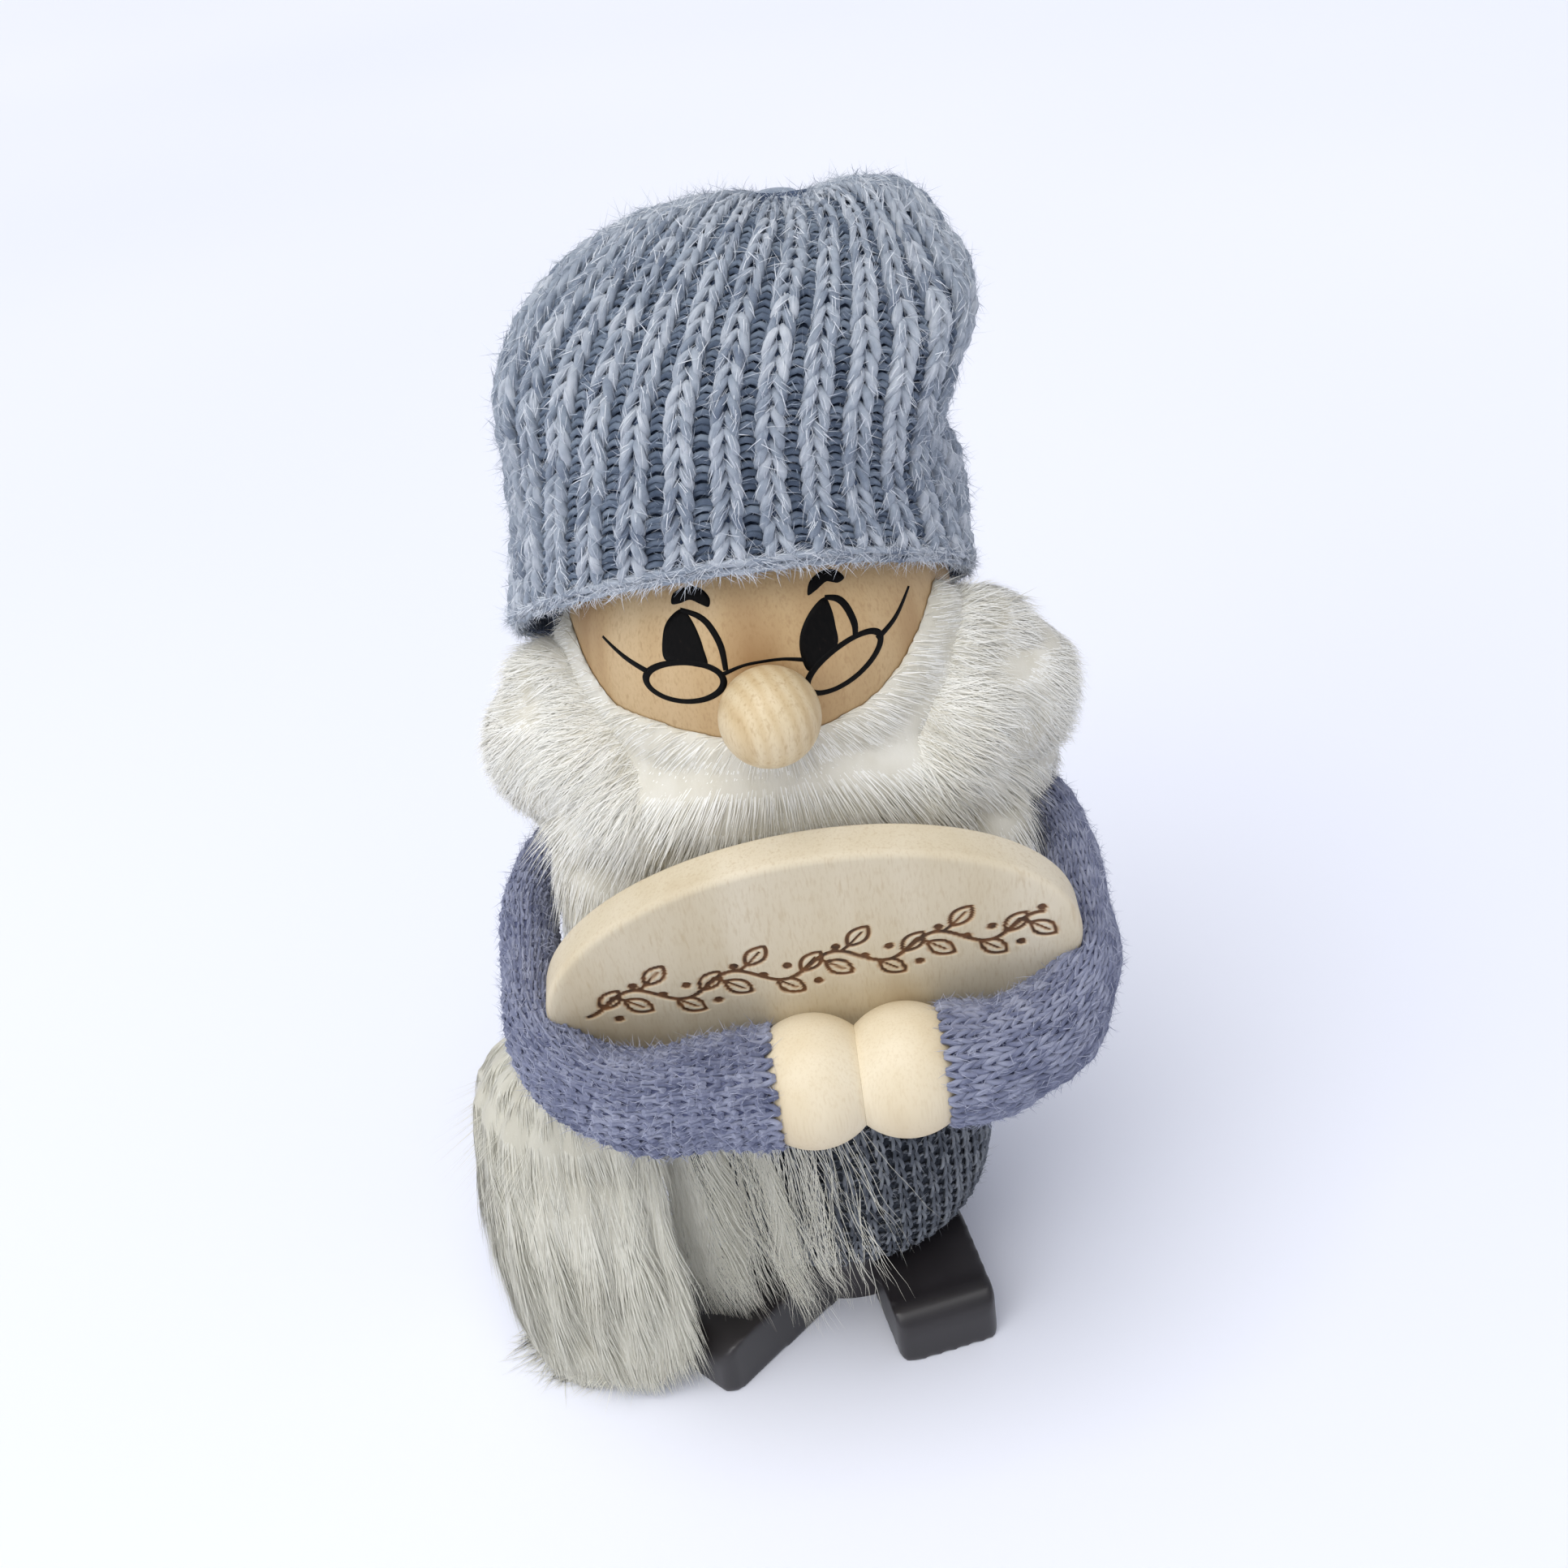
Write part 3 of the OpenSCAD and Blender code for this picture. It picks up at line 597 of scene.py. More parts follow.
def stitch_recipe():
    """Knit stitches of two yarn legs and purl bars, set on points that carry their across, along and out."""
    r = Recipe("knit stitches", Foot="Vector", Foot_handle="Vector", Top_handle="Vector", Top="Vector",
               Bar_end="Vector", Bar_handle="Vector", Yarn_radius="Float", Bar_radius="Float",
               Steps="Int", Sides="Int", Material="Material")
    entry = r.input

    def strand(radius, *places):
        line = r.node("GeometryNodeCurvePrimitiveBezierSegment",
                      {"Resolution": entry("Steps"), "Start": places[0], "Start Handle": places[1],
                       "End Handle": places[2], "End": places[3]}, mode="POSITION").outputs[0]
        along = r.node("GeometryNodeSplineParameter").outputs["Length"]
        line = r.store(line, "run", along)
        circle = {"Resolution": entry("Sides"), "Radius": radius}
        ring = r.node("GeometryNodeCurvePrimitiveCircle", circle).outputs[0]
        turn = r.node("GeometryNodeSplineParameter").outputs["Factor"]
        ring = r.store(ring, "turn", turn)
        skin = {"Curve": line, "Profile Curve": ring, "Fill Caps": True}
        tube = r.node("GeometryNodeCurveToMesh", skin).outputs[0]
        run = r.node("ShaderNodeCombineXYZ", {0: r.attribute("turn"), 1: r.attribute("run")}).outputs[0]
        return r.store(tube, "UVMap", run, "FLOAT2", "CORNER")

    def other_side(vector):
        return r.vector("MULTIPLY", vector, (-1, 1, 1))

    leg = [entry(k) for k in ("Foot", "Foot_handle", "Top_handle", "Top")]
    knit = r.node("GeometryNodeJoinGeometry")
    r.tree.links.new(strand(entry("Yarn_radius"), *leg), knit.inputs[0])
    r.tree.links.new(strand(entry("Yarn_radius"), *[other_side(v) for v in leg]), knit.inputs[0])
    bar = strand(entry("Bar_radius"), entry("Bar_end"), entry("Bar_handle"),
                 other_side(entry("Bar_handle")), other_side(entry("Bar_end")))
    purl_kind = r.attribute("purl")
    is_purl, is_knit = (r.node("FunctionNodeCompare", {0: purl_kind, 1: 0.5}, data_type="FLOAT",
                               operation=way).outputs[0] for way in ("GREATER_THAN", "LESS_THAN"))
    points = r.node("GeometryNodeMeshToPoints", {"Mesh": r.input("Geometry")}).outputs[0]
    both = r.node("GeometryNodeJoinGeometry")
    for stitch, chosen in ((knit.outputs[0], is_knit), (bar, is_purl)):
        placed_at = r.node("GeometryNodeInstanceOnPoints",
                           {"Points": points, "Selection": chosen, "Instance": stitch}).outputs[0]
        r.tree.links.new(placed_at, both.inputs[0])
    place = r.node("GeometryNodeInputPosition").outputs[0]
    lay = r.matrix(r.attribute("across", "FLOAT_VECTOR"), r.attribute("along", "FLOAT_VECTOR"),
                   r.attribute("out", "FLOAT_VECTOR"), place)
    moved = {"Instances": both.outputs[0], "Transform": lay}
    r.finish(r.node("GeometryNodeSetInstanceTransform", moved).outputs[0], entry("Material"))
    return r


OFF_FLOOR = 0.4  # millimetres that a hanging strand stays above the floor


def strand_recipe():
    """Flat wool fibres that grow from a surface along its flow, tapered, clumped and a little wavy."""
    r = Recipe("wool strands", Density="Float", Seed="Int", Width="Float", Spread="Float", Clump="Float",
               Clump_scale="Float", Wave="Float", Wave_scale="Float", Sag="Float", Steps="Int",
               Material="Material")
    entry = r.input
    crowd = r.maths("MULTIPLY", entry("Density"), r.attribute("thick"))
    scatter = r.node("GeometryNodeDistributePointsOnFaces",
                     {"Mesh": entry("Geometry"), "Density": crowd, "Seed": entry("Seed")})
    points, normal = scatter.outputs["Points"], scatter.outputs["Normal"]
    points = r.store(points, "root_out", normal, "FLOAT_VECTOR")

    def chance(low, high, seed):
        made = r.node("FunctionNodeRandomValue", data_type="FLOAT")
        floats = [s for s in made.inputs if s.type == "VALUE"]
        floats[0].default_value, floats[1].default_value = low, high
        made.inputs["Seed"].default_value = seed
        return [s for s in made.outputs if s.type == "VALUE"][0]

    def sway(where, scale, detail):
        """A push in any direction that changes slowly from place to place."""
        noise = r.node("ShaderNodeTexNoise", {"Vector": where, "Scale": scale, "Detail": detail})
        return r.vector("SUBTRACT", noise.outputs["Color"], (0.5, 0.5, 0.5))

    points = r.store(points, "shade", chance(0, 1, 5))
    blade = r.node("GeometryNodeMeshGrid", {"Size X": 1.0, "Size Y": 1.0, "Vertices X": entry("Steps"),
                                            "Vertices Y": 2}).outputs["Mesh"]
    where = r.node("ShaderNodeSeparateXYZ", {0: r.node("GeometryNodeInputPosition").outputs[0]}).outputs
    share = r.maths("ADD", where[0], 0.5)
    taper = r.maths("SUBTRACT", 1.0, r.maths("MULTIPLY", r.maths("POWER", share, 2.0), 0.92))
    sag = r.maths("MULTIPLY", r.maths("POWER", share, 2.0), r.maths("MULTIPLY", entry("Sag"), -1.0))
    half = r.maths("MULTIPLY", where[1], taper)
    shape = r.node("ShaderNodeCombineXYZ", {0: share, 1: half, 2: sag}).outputs[0]
    blade = r.store(blade, "share", share)
    blade = r.node("GeometryNodeSetPosition", {"Geometry": blade, "Position": shape}).outputs[0]
    strands = r.node("GeometryNodeInstanceOnPoints", {"Points": points, "Instance": blade}).outputs[0]

    place = r.node("GeometryNodeInputPosition").outputs[0]
    out = r.attribute("root_out", "FLOAT_VECTOR")
    clump = r.vector("SCALE", sway(place, entry("Clump_scale"), 2.0), entry("Clump"))
    stray = r.node("ShaderNodeCombineXYZ", {axis: chance(-1, 1, axis + 1) for axis in range(3)}).outputs[0]
    stray = r.vector("SCALE", stray, entry("Spread"))
    lean = r.vector("ADD", r.vector("ADD", r.attribute("flow", "FLOAT_VECTOR"), clump), stray)
    tangent = r.vector("SUBTRACT", lean, r.vector("SCALE", out, r.node(
        "ShaderNodeVectorMath", {0: lean, 1: out}, operation="DOT_PRODUCT").outputs["Value"]))
    tangent = r.vector("NORMALIZE", tangent)
    lifted = r.vector("NORMALIZE", r.vector("ADD", tangent, r.vector("SCALE", out, r.attribute("lift"))))
    length = r.maths("MULTIPLY", r.attribute("length"), chance(0.55, 1.15, 4))
    side = r.vector("NORMALIZE", r.vector("CROSS_PRODUCT", out, lifted))
    above = r.vector("CROSS_PRODUCT", lifted, side)
    lay = r.matrix(r.vector("SCALE", lifted, length), r.vector("SCALE", side, entry("Width")),
                   r.vector("SCALE", above, length), place)
    strands = r.node("GeometryNodeSetInstanceTransform", {"Instances": strands, "Transform": lay}).outputs[0]
    real = r.node("GeometryNodeRealizeInstances", {"Geometry": strands}).outputs[0]
    ripple = sway(r.node("GeometryNodeInputPosition").outputs[0], entry("Wave_scale"), 1.0)
    ripple = r.vector("SCALE", ripple, r.maths("MULTIPLY", entry("Wave"), r.attribute("share")))
    real = r.node("GeometryNodeSetPosition", {"Geometry": real, "Offset": ripple}).outputs[0]
    ends = r.node("ShaderNodeSeparateXYZ", {0: r.node("GeometryNodeInputPosition").outputs[0]}).outputs
    above_floor = r.node("ShaderNodeCombineXYZ",
                         {0: ends[0], 1: ends[1], 2: r.maths("MAXIMUM", ends[2], OFF_FLOOR * MM)}).outputs[0]
    real = r.node("GeometryNodeSetPosition", {"Geometry": real, "Position": above_floor}).outputs[0]
    r.finish(real, entry("Material"))
    return r


STITCHES = stitch_recipe()
STRANDS = strand_recipe()


# ---- Knitting over a surface ----

def knit_points(surface, columns, rows, pitch, height, kinds, jitter, seed, keep=None):
    """Stitch places over surface(column share, row share), in millimetres from the axis.

    Returns a mesh of points whose across, along and out say how wide, high and deep each stitch lies.
    """
    chance = np.random.RandomState(seed)
    cells = []
    for kind in kinds:
        c, w = np.meshgrid(np.arange(columns), np.arange(rows))
        c, w = c.ravel() + (0.5 if kind else 0.0), w.ravel()
        cells.append(np.stack([c / columns, (w + 0.5) / rows, np.full(len(c), kind)], 1))
    cells = np.concatenate(cells)
    u, v, kind = cells.T
    step_u, step_v = 0.5 / columns, 0.5 / rows
    middle = surface(u, v)
    across = (surface(u + step_u, v) - surface(u - step_u, v)) / pitch
    along = (surface(u, v + step_v) - surface(u, v - step_v)) / height
    out = np.cross(across, along)
    out /= np.linalg.norm(out, axis=1)[:, None]
    wide = np.linalg.norm(across, axis=1)[:, None]
    out *= np.clip(wide, 0.45, 1.15) ** 0.7
    middle += chance.normal(0, jitter, middle.shape)
    turn = chance.normal(0, 0.05, len(u))[:, None]
    across, along = across + along * turn, along - across * turn
    chosen = np.ones(len(u), bool) if keep is None else keep(u, v, middle, wide[:, 0])
    base = shown("stitch places", placed(middle[chosen]), [], None)
    give(base, "across", "FLOAT_VECTOR", across[chosen])
    give(base, "along", "FLOAT_VECTOR", along[chosen])
    give(base, "out", "FLOAT_VECTOR", out[chosen])
    give(base, "purl", "FLOAT", kind[chosen])
    give(base, "shade", "FLOAT", chance.uniform(0, 1, chosen.sum()))
    return base


NO_LEG = ((1, 0, 0),) * 4
NO_BAR = ((1, 0, 0), (0, 0, 0))


def stitches(name, places, leg, yarn_radius, steps, sides, material, bar=NO_BAR, bar_radius=0.1):
    """Stitches on their places, with leg as half a V by its ends and handles and bar as half a purl bump."""
    route = dict(zip(("Foot", "Foot_handle", "Top_handle", "Top", "Bar_end", "Bar_handle"), (*leg, *bar)))
    route = {key: [x * MM for x in place] for key, place in route.items()}
    return grow(name, places, STITCHES, **route, Yarn_radius=yarn_radius * MM, Bar_radius=bar_radius * MM,
                Steps=steps, Sides=sides, Material=material)


# ---- Hat ----

HAT_RIBS = 32
HAT_ROWS = 30
HAT_T = 3.1
HAT_BACK = 11.5
BRIM_Z = HEAD_Z + 1
BRIM_SLANT = 0.68
WALL_Z = HEAD_Z + 35
CROWN_Z = 195.5


def hat_place(angle, t, inset=0.0):
    """Point on the hat at an angle round it and share t from the brim to the crown."""
    wall = 0.42
    k = np.clip(t / wall, 0, 1)
    f = np.radians(89.0) * np.clip((t - wall) / (1 - wall), 0, 1)
    mid_y = 3 - 2 * k
    y = mid_y + (31.5 - 2.5 * k - inset) * np.sin(angle)
    x_wall = -2.4 + 1.4 * k + (34.8 - 4.0 * k - inset) * np.cos(angle)
    z_brim = BRIM_Z - BRIM_SLANT * y
    z_wall = z_brim + (WALL_Z - z_brim) * k
    close = np.cos(f) ** 0.48
    x_dome = -1 + 10.6 * np.sin(f) ** 2 + (30.8 - inset) * close * np.cos(angle)
    y_dome = 1 + HAT_BACK * np.sin(f) ** 2 + (29 - inset) * close * np.sin(angle)
    drop = 0.37 * (y_dome + np.sqrt(y_dome ** 2 + 64) - 8) / 2
    z_dome = WALL_Z + (CROWN_Z - WALL_Z - inset - drop) * np.sin(f) ** 1.15
    high = t > wall
    x, y, z = np.where(high, x_dome, x_wall), np.where(high, y_dome, y), np.where(high, z_dome, z_wall)
    # The crown slumps over to the left in a lobe, with a pinched fold under it
    side = np.clip(np.cos(angle - 0.1), 0, 1) ** 1.5
    lobe = 4.9 * np.exp(-((z - 178.3) / 8.5) ** 2) - 1.6 * np.exp(-((z - 160.5) / 5.0) ** 2)
    x = x + lobe * side
    crease = np.exp(-((x - 12) / 5.0) ** 2) * np.clip((z - 186) / 8, 0, 1)
    z = z - 2.2 * crease
    # Slack fabric: slow folds that fade at the brim
    slack = np.clip(t / 0.2, 0, 1) * np.clip((1 - t) / 0.3, 0, 1)
    fold = 0.8 * np.sin(3 * angle + 0.09 * z) + 0.5 * np.sin(5 * angle - 0.13 * z + 1.0)
    x = x + slack * fold * np.cos(angle)
    y = y + slack * fold * np.sin(angle)
    return np.stack([x, y, z], -1)


def even_rows(place, columns, samples=160):
    """For each column of a surface, the share t at even steps of length along it."""
    t = np.linspace(0, 1, samples)
    angle = np.linspace(0, 2 * math.pi, columns, endpoint=False)
    line = place(angle[:, None], t[None, :])
    length = np.concatenate([np.zeros((columns, 1)), np.cumsum(
        np.linalg.norm(np.diff(line, axis=1), axis=2), axis=1)], 1)
    return t, length / length[:, -1:], columns


HAT_TABLE = even_rows(hat_place, 128)


def hat_surface(u, v, inset=0.0):
    """Point on the hat at column share u and row share v, with even rows along each column."""
    t, length, columns = HAT_TABLE
    u = np.asarray(u, float) % 1.0
    v = np.clip(np.asarray(v, float), 0, 1)
    where = u * columns
    low = np.floor(where).astype(int) % columns
    part = where - np.floor(where)
    shares = []
    for c, vv in ((low, v), ((low + 1) % columns, v)):
        shares.append(np.array([np.interp(q, length[i], t) for i, q in zip(c, vv)]))
    share = shares[0] * (1 - part) + shares[1] * part
    return hat_place(u * 2 * math.pi, share, inset)


def hat_keep(u, v, middle, wide):
    """Near the tip every second rib is worked into its neighbour."""
    number = np.round(u * HAT_RIBS * 2).astype(int)
    return ((wide > 0.30) | (number % 4 < 2)) & (wide > 0.08)


def ribs(u, count):
    """A wave round the piece, from 0 on a knit rib to 1 between two ribs."""
    return 0.5 - 0.5 * np.cos(np.asarray(u) * count * 2 * math.pi)


def outward_way(surface, u, v, step, top=np.inf):
    """Unit vectors that point out of a surface."""
    du = surface(u + step, v) - surface(u - step, v)
    dv = surface(u, np.minimum(v + step, top)) - surface(u, v - step)
    return unit(np.cross(du, dv))


def make_hat():
    columns, rows = HAT_RIBS * 6, 52
    u = np.arange(columns) / columns
    outer, inner = [], []
    for row in np.linspace(0, 1, rows) * 0.985:
        v = np.full(columns, row)
        thin = np.clip((1 - row) / 0.12, 0.15, 1)
        depth = ((0.9 + 0.9 * ribs(u, HAT_RIBS)) * thin)[:, None]
        outer.append(hat_surface(u, v) - outward_way(hat_surface, u, v, 1e-3, 1) * depth)
        inner.append(hat_surface(u, v, HAT_T * 0.95))
    return shell("hat_ground", np.array(outer), np.array(inner), hat_ground, True)


def sit_back(surface, ridge, valley, columns):
    """The surface moved in: ridge millimetres for knit columns, valley millimetres for purl ones."""
    def moved(u, v):
        depth = ridge + (valley - ridge) * ribs(u, columns)
        return surface(u, v) - outward_way(surface, u, v, 2e-3) * depth[:, None]
    return moved


hat_base = make_hat()
hat_skin = sit_back(hat_surface, 0.75, 1.45, HAT_RIBS)
hat_places = knit_points(hat_skin, HAT_RIBS, HAT_ROWS, 6.5, 2.55, (0,), 0.12, 11, hat_keep)
hat_knit = stitches("hat_knit", hat_places,
                    ((1.45, -1.4, -0.8), (1.85, 0.3, 0.75), (1.0, 1.9, 1.0), (0.38, 3.0, -0.6)),
                    0.78, 5, 6, hat_yarn)
hat_bars = knit_points(hat_skin, HAT_RIBS, HAT_ROWS * 2, 6.5, 1.275, (1,), 0.10, 13, hat_keep)
hat_purl = stitches("hat_purl", hat_bars, NO_LEG, 0.1, 4, 5, purl_yarn_in_shade,
                    ((1.75, -0.9, -0.35), (0.8, 0.9, 0.85)), 0.56)


def brim_edge(u, v):
    """A narrow band that rolls under the brim, from its outer face to its lower one."""
    angle = np.asarray(v, float) * 2 * math.pi
    roll = np.asarray(u, float) * math.pi * 0.8 + 0.5
    outer, inner = hat_place(angle, np.zeros_like(angle)), hat_place(angle, np.zeros_like(angle), HAT_T)
    outward = unit(outer - inner)
    middle = outer - outward * 1.7 + UP * 0.95
    return middle + outward * (1.25 * np.cos(roll))[:, None] - UP * (1.25 * np.sin(roll))[:, None]


def gathered_tip():
    """The last stitches drawn together at the crown, a small flat coil of yarn."""
    tip = hat_place(np.arange(4) * math.pi / 2, np.ones(4)).mean(0)
    turns, sides = 60, 6
    a = np.linspace(0, 5.6 * math.pi, turns)
    reach = 0.5 + 3.4 * np.linspace(0, 1, turns)
    drop = 0.5 + 0.045 * reach ** 2
    middle = np.stack([tip[0] + reach * np.cos(a), tip[1] + reach * np.sin(a), tip[2] - drop], 1)
    ring = np.linspace(0, 2 * math.pi, sides, endpoint=False)
    outward = np.stack([np.cos(a), np.sin(a), np.zeros(turns)], 1)
    rows = [m + 0.72 * (np.cos(ring)[:, None] * o + np.sin(ring)[:, None] * UP)
            for m, o in zip(middle, outward)]
    faces = grid_faces(turns, sides)
    faces += [tuple(range(sides)), tuple((turns - 1) * sides + i for i in range(sides))]
    coil = shown("hat_tip", placed(np.concatenate(rows)), faces, hat_yarn)
    outwards(coil)
    return coil


hat_tip = gathered_tip()
edge_places = knit_points(brim_edge, 1, 84, 2.6, 2.5, (0,), 0.06, 14)
hat_edge = stitches("hat_edge", edge_places,
                    ((0.7, -1.4, -0.5), (0.9, 0.2, 0.2), (0.6, 1.6, 0.2), (0.2, 2.6, -0.5)),
                    0.5, 5, 6, hat_yarn)

# ---- Sweater ----

SWEATER_RIBS = 58
SWEATER_ROWS = 38


def body_radius(z):
    z = np.asarray(z, float)
    top = 11.5 + 14.5 * np.cos(np.radians(90 * np.clip(z - 30, 0, 79) / 79))
    low = 20 + 6 * np.sqrt(np.clip(1 - ((30 - np.minimum(z, 30)) / 14) ** 2, 0, 1))
    return np.where(z >= 30, top, low)


def sweater_surface(u, v, inset=0.0):
    angle = np.asarray(u, float) * 2 * math.pi
    z = 15.2 + 90 * np.asarray(v, float)
    radius = body_radius(np.clip(z, 16, 109)) + 2.15 - inset
    radius = radius - 0.5 * np.exp(-((z - 15.2) / 2.0) ** 2)
    return np.stack([radius * np.cos(angle), radius * np.sin(angle), z], -1)


def make_sweater_ground():
    columns, rows = SWEATER_RIBS * 3, 48
    u = np.arange(columns) / columns
    outer, inner = [], []
    hem = np.stack([np.cos(u * 2 * math.pi), np.sin(u * 2 * math.pi), np.zeros(columns)], 1)
    for reach, z in ((17.6, 14.3), (18.2, 13.7), (20.0, 13.6), (21.3, 14.4)):
        row = hem * reach
        row[:, 2] = z
        outer.append(row)
        row = hem * (17.6 if reach < 20 else 20.3)
        row[:, 2] = 15.6 if reach < 20 else 15.8
        inner.append(row)
    depth = (0.55 + 0.5 * ribs(u, SWEATER_RIBS))[:, None] * hem
    for row in np.linspace(0.012, 1, rows):
        outer.append(sweater_surface(u, np.full(columns, row)) - depth)
        inner.append(sweater_surface(u, np.full(columns, row), 1.95))
    return shell("sweater_ground", np.array(outer), np.array(inner), sweater_ground, False)


def sweater_keep(u, v, middle, wide):
    return middle[:, 2] > 14.5


sweater_base = make_sweater_ground()
sweater_places = knit_points(sit_back(sweater_surface, 0.38, 0.85, SWEATER_RIBS), SWEATER_RIBS, SWEATER_ROWS,
                             3.0, 2.4, (0, 1), 0.05, 12, sweater_keep)
sweater_knit = stitches("sweater_knit", sweater_places,
                        ((0.62, -0.9, -0.45), (0.85, 0.2, 0.4), (0.45, 1.4, 0.5), (0.16, 2.4, -0.3)),
                        0.37, 3, 4, sweater_yarn, ((0.8, -0.6, -0.25), (0.4, 0.6, 0.35)), 0.29)

# ---- Sleeves ----

SHOULDER_BEND, FRONT_BEND, ARM_HALF, ARM_REACH = 16.0, 20.0, 43.0, 47.5
SLEEVE_WALES, SLEEVE_ROWS = 24, 46
PLATE_A, PLATE_B, PLATE_T = 39.8, 25.2, 6.5
PLATE_TILT, PLATE_ROLL = math.radians(10.4), math.radians(5.5)
HAND_TO_PLATE, HAND_TO_MIDDLE = 9.3, 11.5
arm_fall = math.radians(ARM_FALL)
plate_y = -ARM_REACH * math.cos(arm_fall) + HAND_TO_PLATE * math.cos(PLATE_TILT) \
    - HAND_TO_MIDDLE * math.sin(PLATE_TILT)
plate_z = SHOULDER_Z - ARM_REACH * math.sin(arm_fall) + HAND_TO_PLATE * math.sin(PLATE_TILT) \
    + HAND_TO_MIDDLE * math.cos(PLATE_TILT)
PLATE_FRAME = Matrix.Translation((0.8, plate_y, plate_z)) \
    @ Matrix.Rotation(math.pi / 2 + PLATE_TILT, 4, "X") @ Matrix.Rotation(PLATE_ROLL, 4, "Z")
ARM_FRAME = Matrix.Translation((0, 0, SHOULDER_Z)) @ Matrix.Rotation(math.radians(180 + ARM_FALL), 4, "X")


def through(matrix, points):
    """Points moved by a matrix."""
    m = np.array(matrix)
    return points @ m[:3, :3].T + m[:3, 3]


sleeve_x = float(body_radius(SHOULDER_Z - 7.2)) + 2 + 0.4 + 1
ARM_LEVEL = ARM_HALF - SHOULDER_BEND - sleeve_x
ARM_STRAIGHT = ARM_REACH - SHOULDER_BEND - FRONT_BEND


def cuff_reach(side):
    return side * 5.7 + 6.85 + 6.4


def arm_spans(side):
    over = max(0.0, cuff_reach(side) - (ARM_HALF - FRONT_BEND))
    bend = FRONT_BEND * (math.pi / 2 - math.asin(min(1, over / FRONT_BEND)))
    last = max(0.0, ARM_HALF - FRONT_BEND - cuff_reach(side))
    return ARM_LEVEL + SHOULDER_BEND * math.pi / 2 + ARM_STRAIGHT + bend + last


def arm_line(s):
    """Point and heading of the arm's middle line at distance s."""
    s = np.asarray(s, float)
    one = ARM_LEVEL
    two = one + SHOULDER_BEND * math.pi / 2
    three = two + ARM_STRAIGHT
    a = np.clip((s - one) / SHOULDER_BEND, 0, math.pi / 2)
    b = np.clip((s - three) / FRONT_BEND, 0, math.pi / 2)
    rest = np.clip(s - three - FRONT_BEND * math.pi / 2, 0, None)
    x = sleeve_x + np.minimum(s, one) + SHOULDER_BEND * np.sin(a) - FRONT_BEND * (1 - np.cos(b)) - rest
    y = SHOULDER_BEND * (1 - np.cos(a)) + np.clip(s - two, 0, ARM_STRAIGHT) + FRONT_BEND * np.sin(b)
    return x, y, a + b


def off_plate(points, margin=0.35):
    """Soft points inside the plate's slab are pressed out through its nearer face or its edge."""
    local = through(PLATE_FRAME.inverted(), points)
    x, y, z = local.T
    ring = np.sqrt((x / (PLATE_A + margin)) ** 2 + (y / (PLATE_B + margin)) ** 2)
    inside = (ring < 1) & (z < margin) & (z > -PLATE_T - margin)
    room_front, room_back = margin - z, z + PLATE_T + margin
    room_edge = (1 / np.maximum(ring, 1e-6) - 1) * np.hypot(x, y)
    front = inside & (room_front <= room_back) & (room_front <= room_edge)
    back = inside & (room_back < room_front) & (room_back <= room_edge)
    edge = inside & ~front & ~back
    z = np.where(front, margin, np.where(back, -PLATE_T - margin, z))
    grow_by = np.where(edge, 1 / np.maximum(ring, 1e-6), 1)
    return through(PLATE_FRAME, np.stack([x * grow_by, y * grow_by, z], 1))


def sleeve_surface(side, inset=0.0):
    span = arm_spans(side)

    def at(u, v):
        u, v = np.asarray(u, float), np.asarray(v, float)
        t = np.clip(v, 0, 1)
        x, y, heading = arm_line(v * span)
        wide = 4.8 + 4.6 * t ** 2.2 - inset
        high = 5.8 + 3.6 * np.sin(np.radians(90 * t)) ** 1.2 - inset
        slack = np.clip(t / 0.1, 0, 1) * np.clip((1 - t) / 0.1, 0, 1)
        angle = -side * u * 2 * math.pi
        fold = slack * 0.35 * np.sin(v * 34 + 2.5 * np.sin(angle)) * (0.6 + 0.4 * np.cos(angle))
        beside = np.exp(-((np.degrees(heading) - 90) / 42) ** 2) * np.clip(t / 0.15, 0, 1)
        wide = (wide + fold) * (1 - 0.36 * beside * np.clip(np.cos(angle) * 1.5, 0, 1))
        high = high + fold
        local = np.stack([side * (x + wide * np.cos(angle) * np.sin(heading)),
                          y - wide * np.cos(angle) * np.cos(heading), side * high * np.sin(angle)], -1)
        return off_plate(through(ARM_FRAME, local))
    return at


def make_sleeve(name, side, seed):
    outer_skin, inner_skin = sleeve_surface(side, 0.75), sleeve_surface(side, 1.4)
    columns, rows = 72, 64
    u = np.arange(columns) / columns
    outer, inner = [], []
    for row in np.linspace(0, 1, rows):
        outer.append(outer_skin(u, np.full(columns, row)))
        inner.append(inner_skin(u, np.full(columns, row)))
    ground = shell(name + "_ground", np.array(outer), np.array(inner), sleeve_ground, False)
    places = knit_points(sleeve_surface(side, 0.62), SLEEVE_WALES, SLEEVE_ROWS, 2.5, 2.0, (0,), 0.08, seed)
    knit = stitches(name + "_knit", places,
                    ((0.98, -0.95, -0.5), (1.05, 0.1, 0.45), (0.6, 1.2, 0.5), (0.22, 2.0, -0.35)),
                    0.52, 4, 5, sleeve_yarn)
    return ground, knit


right_ground, right_knit = make_sleeve("sleeve_right", -1, 21)
left_ground, left_knit = make_sleeve("sleeve_left", 1, 22)


# ---- Loose fibres that stand off the knitwear ----

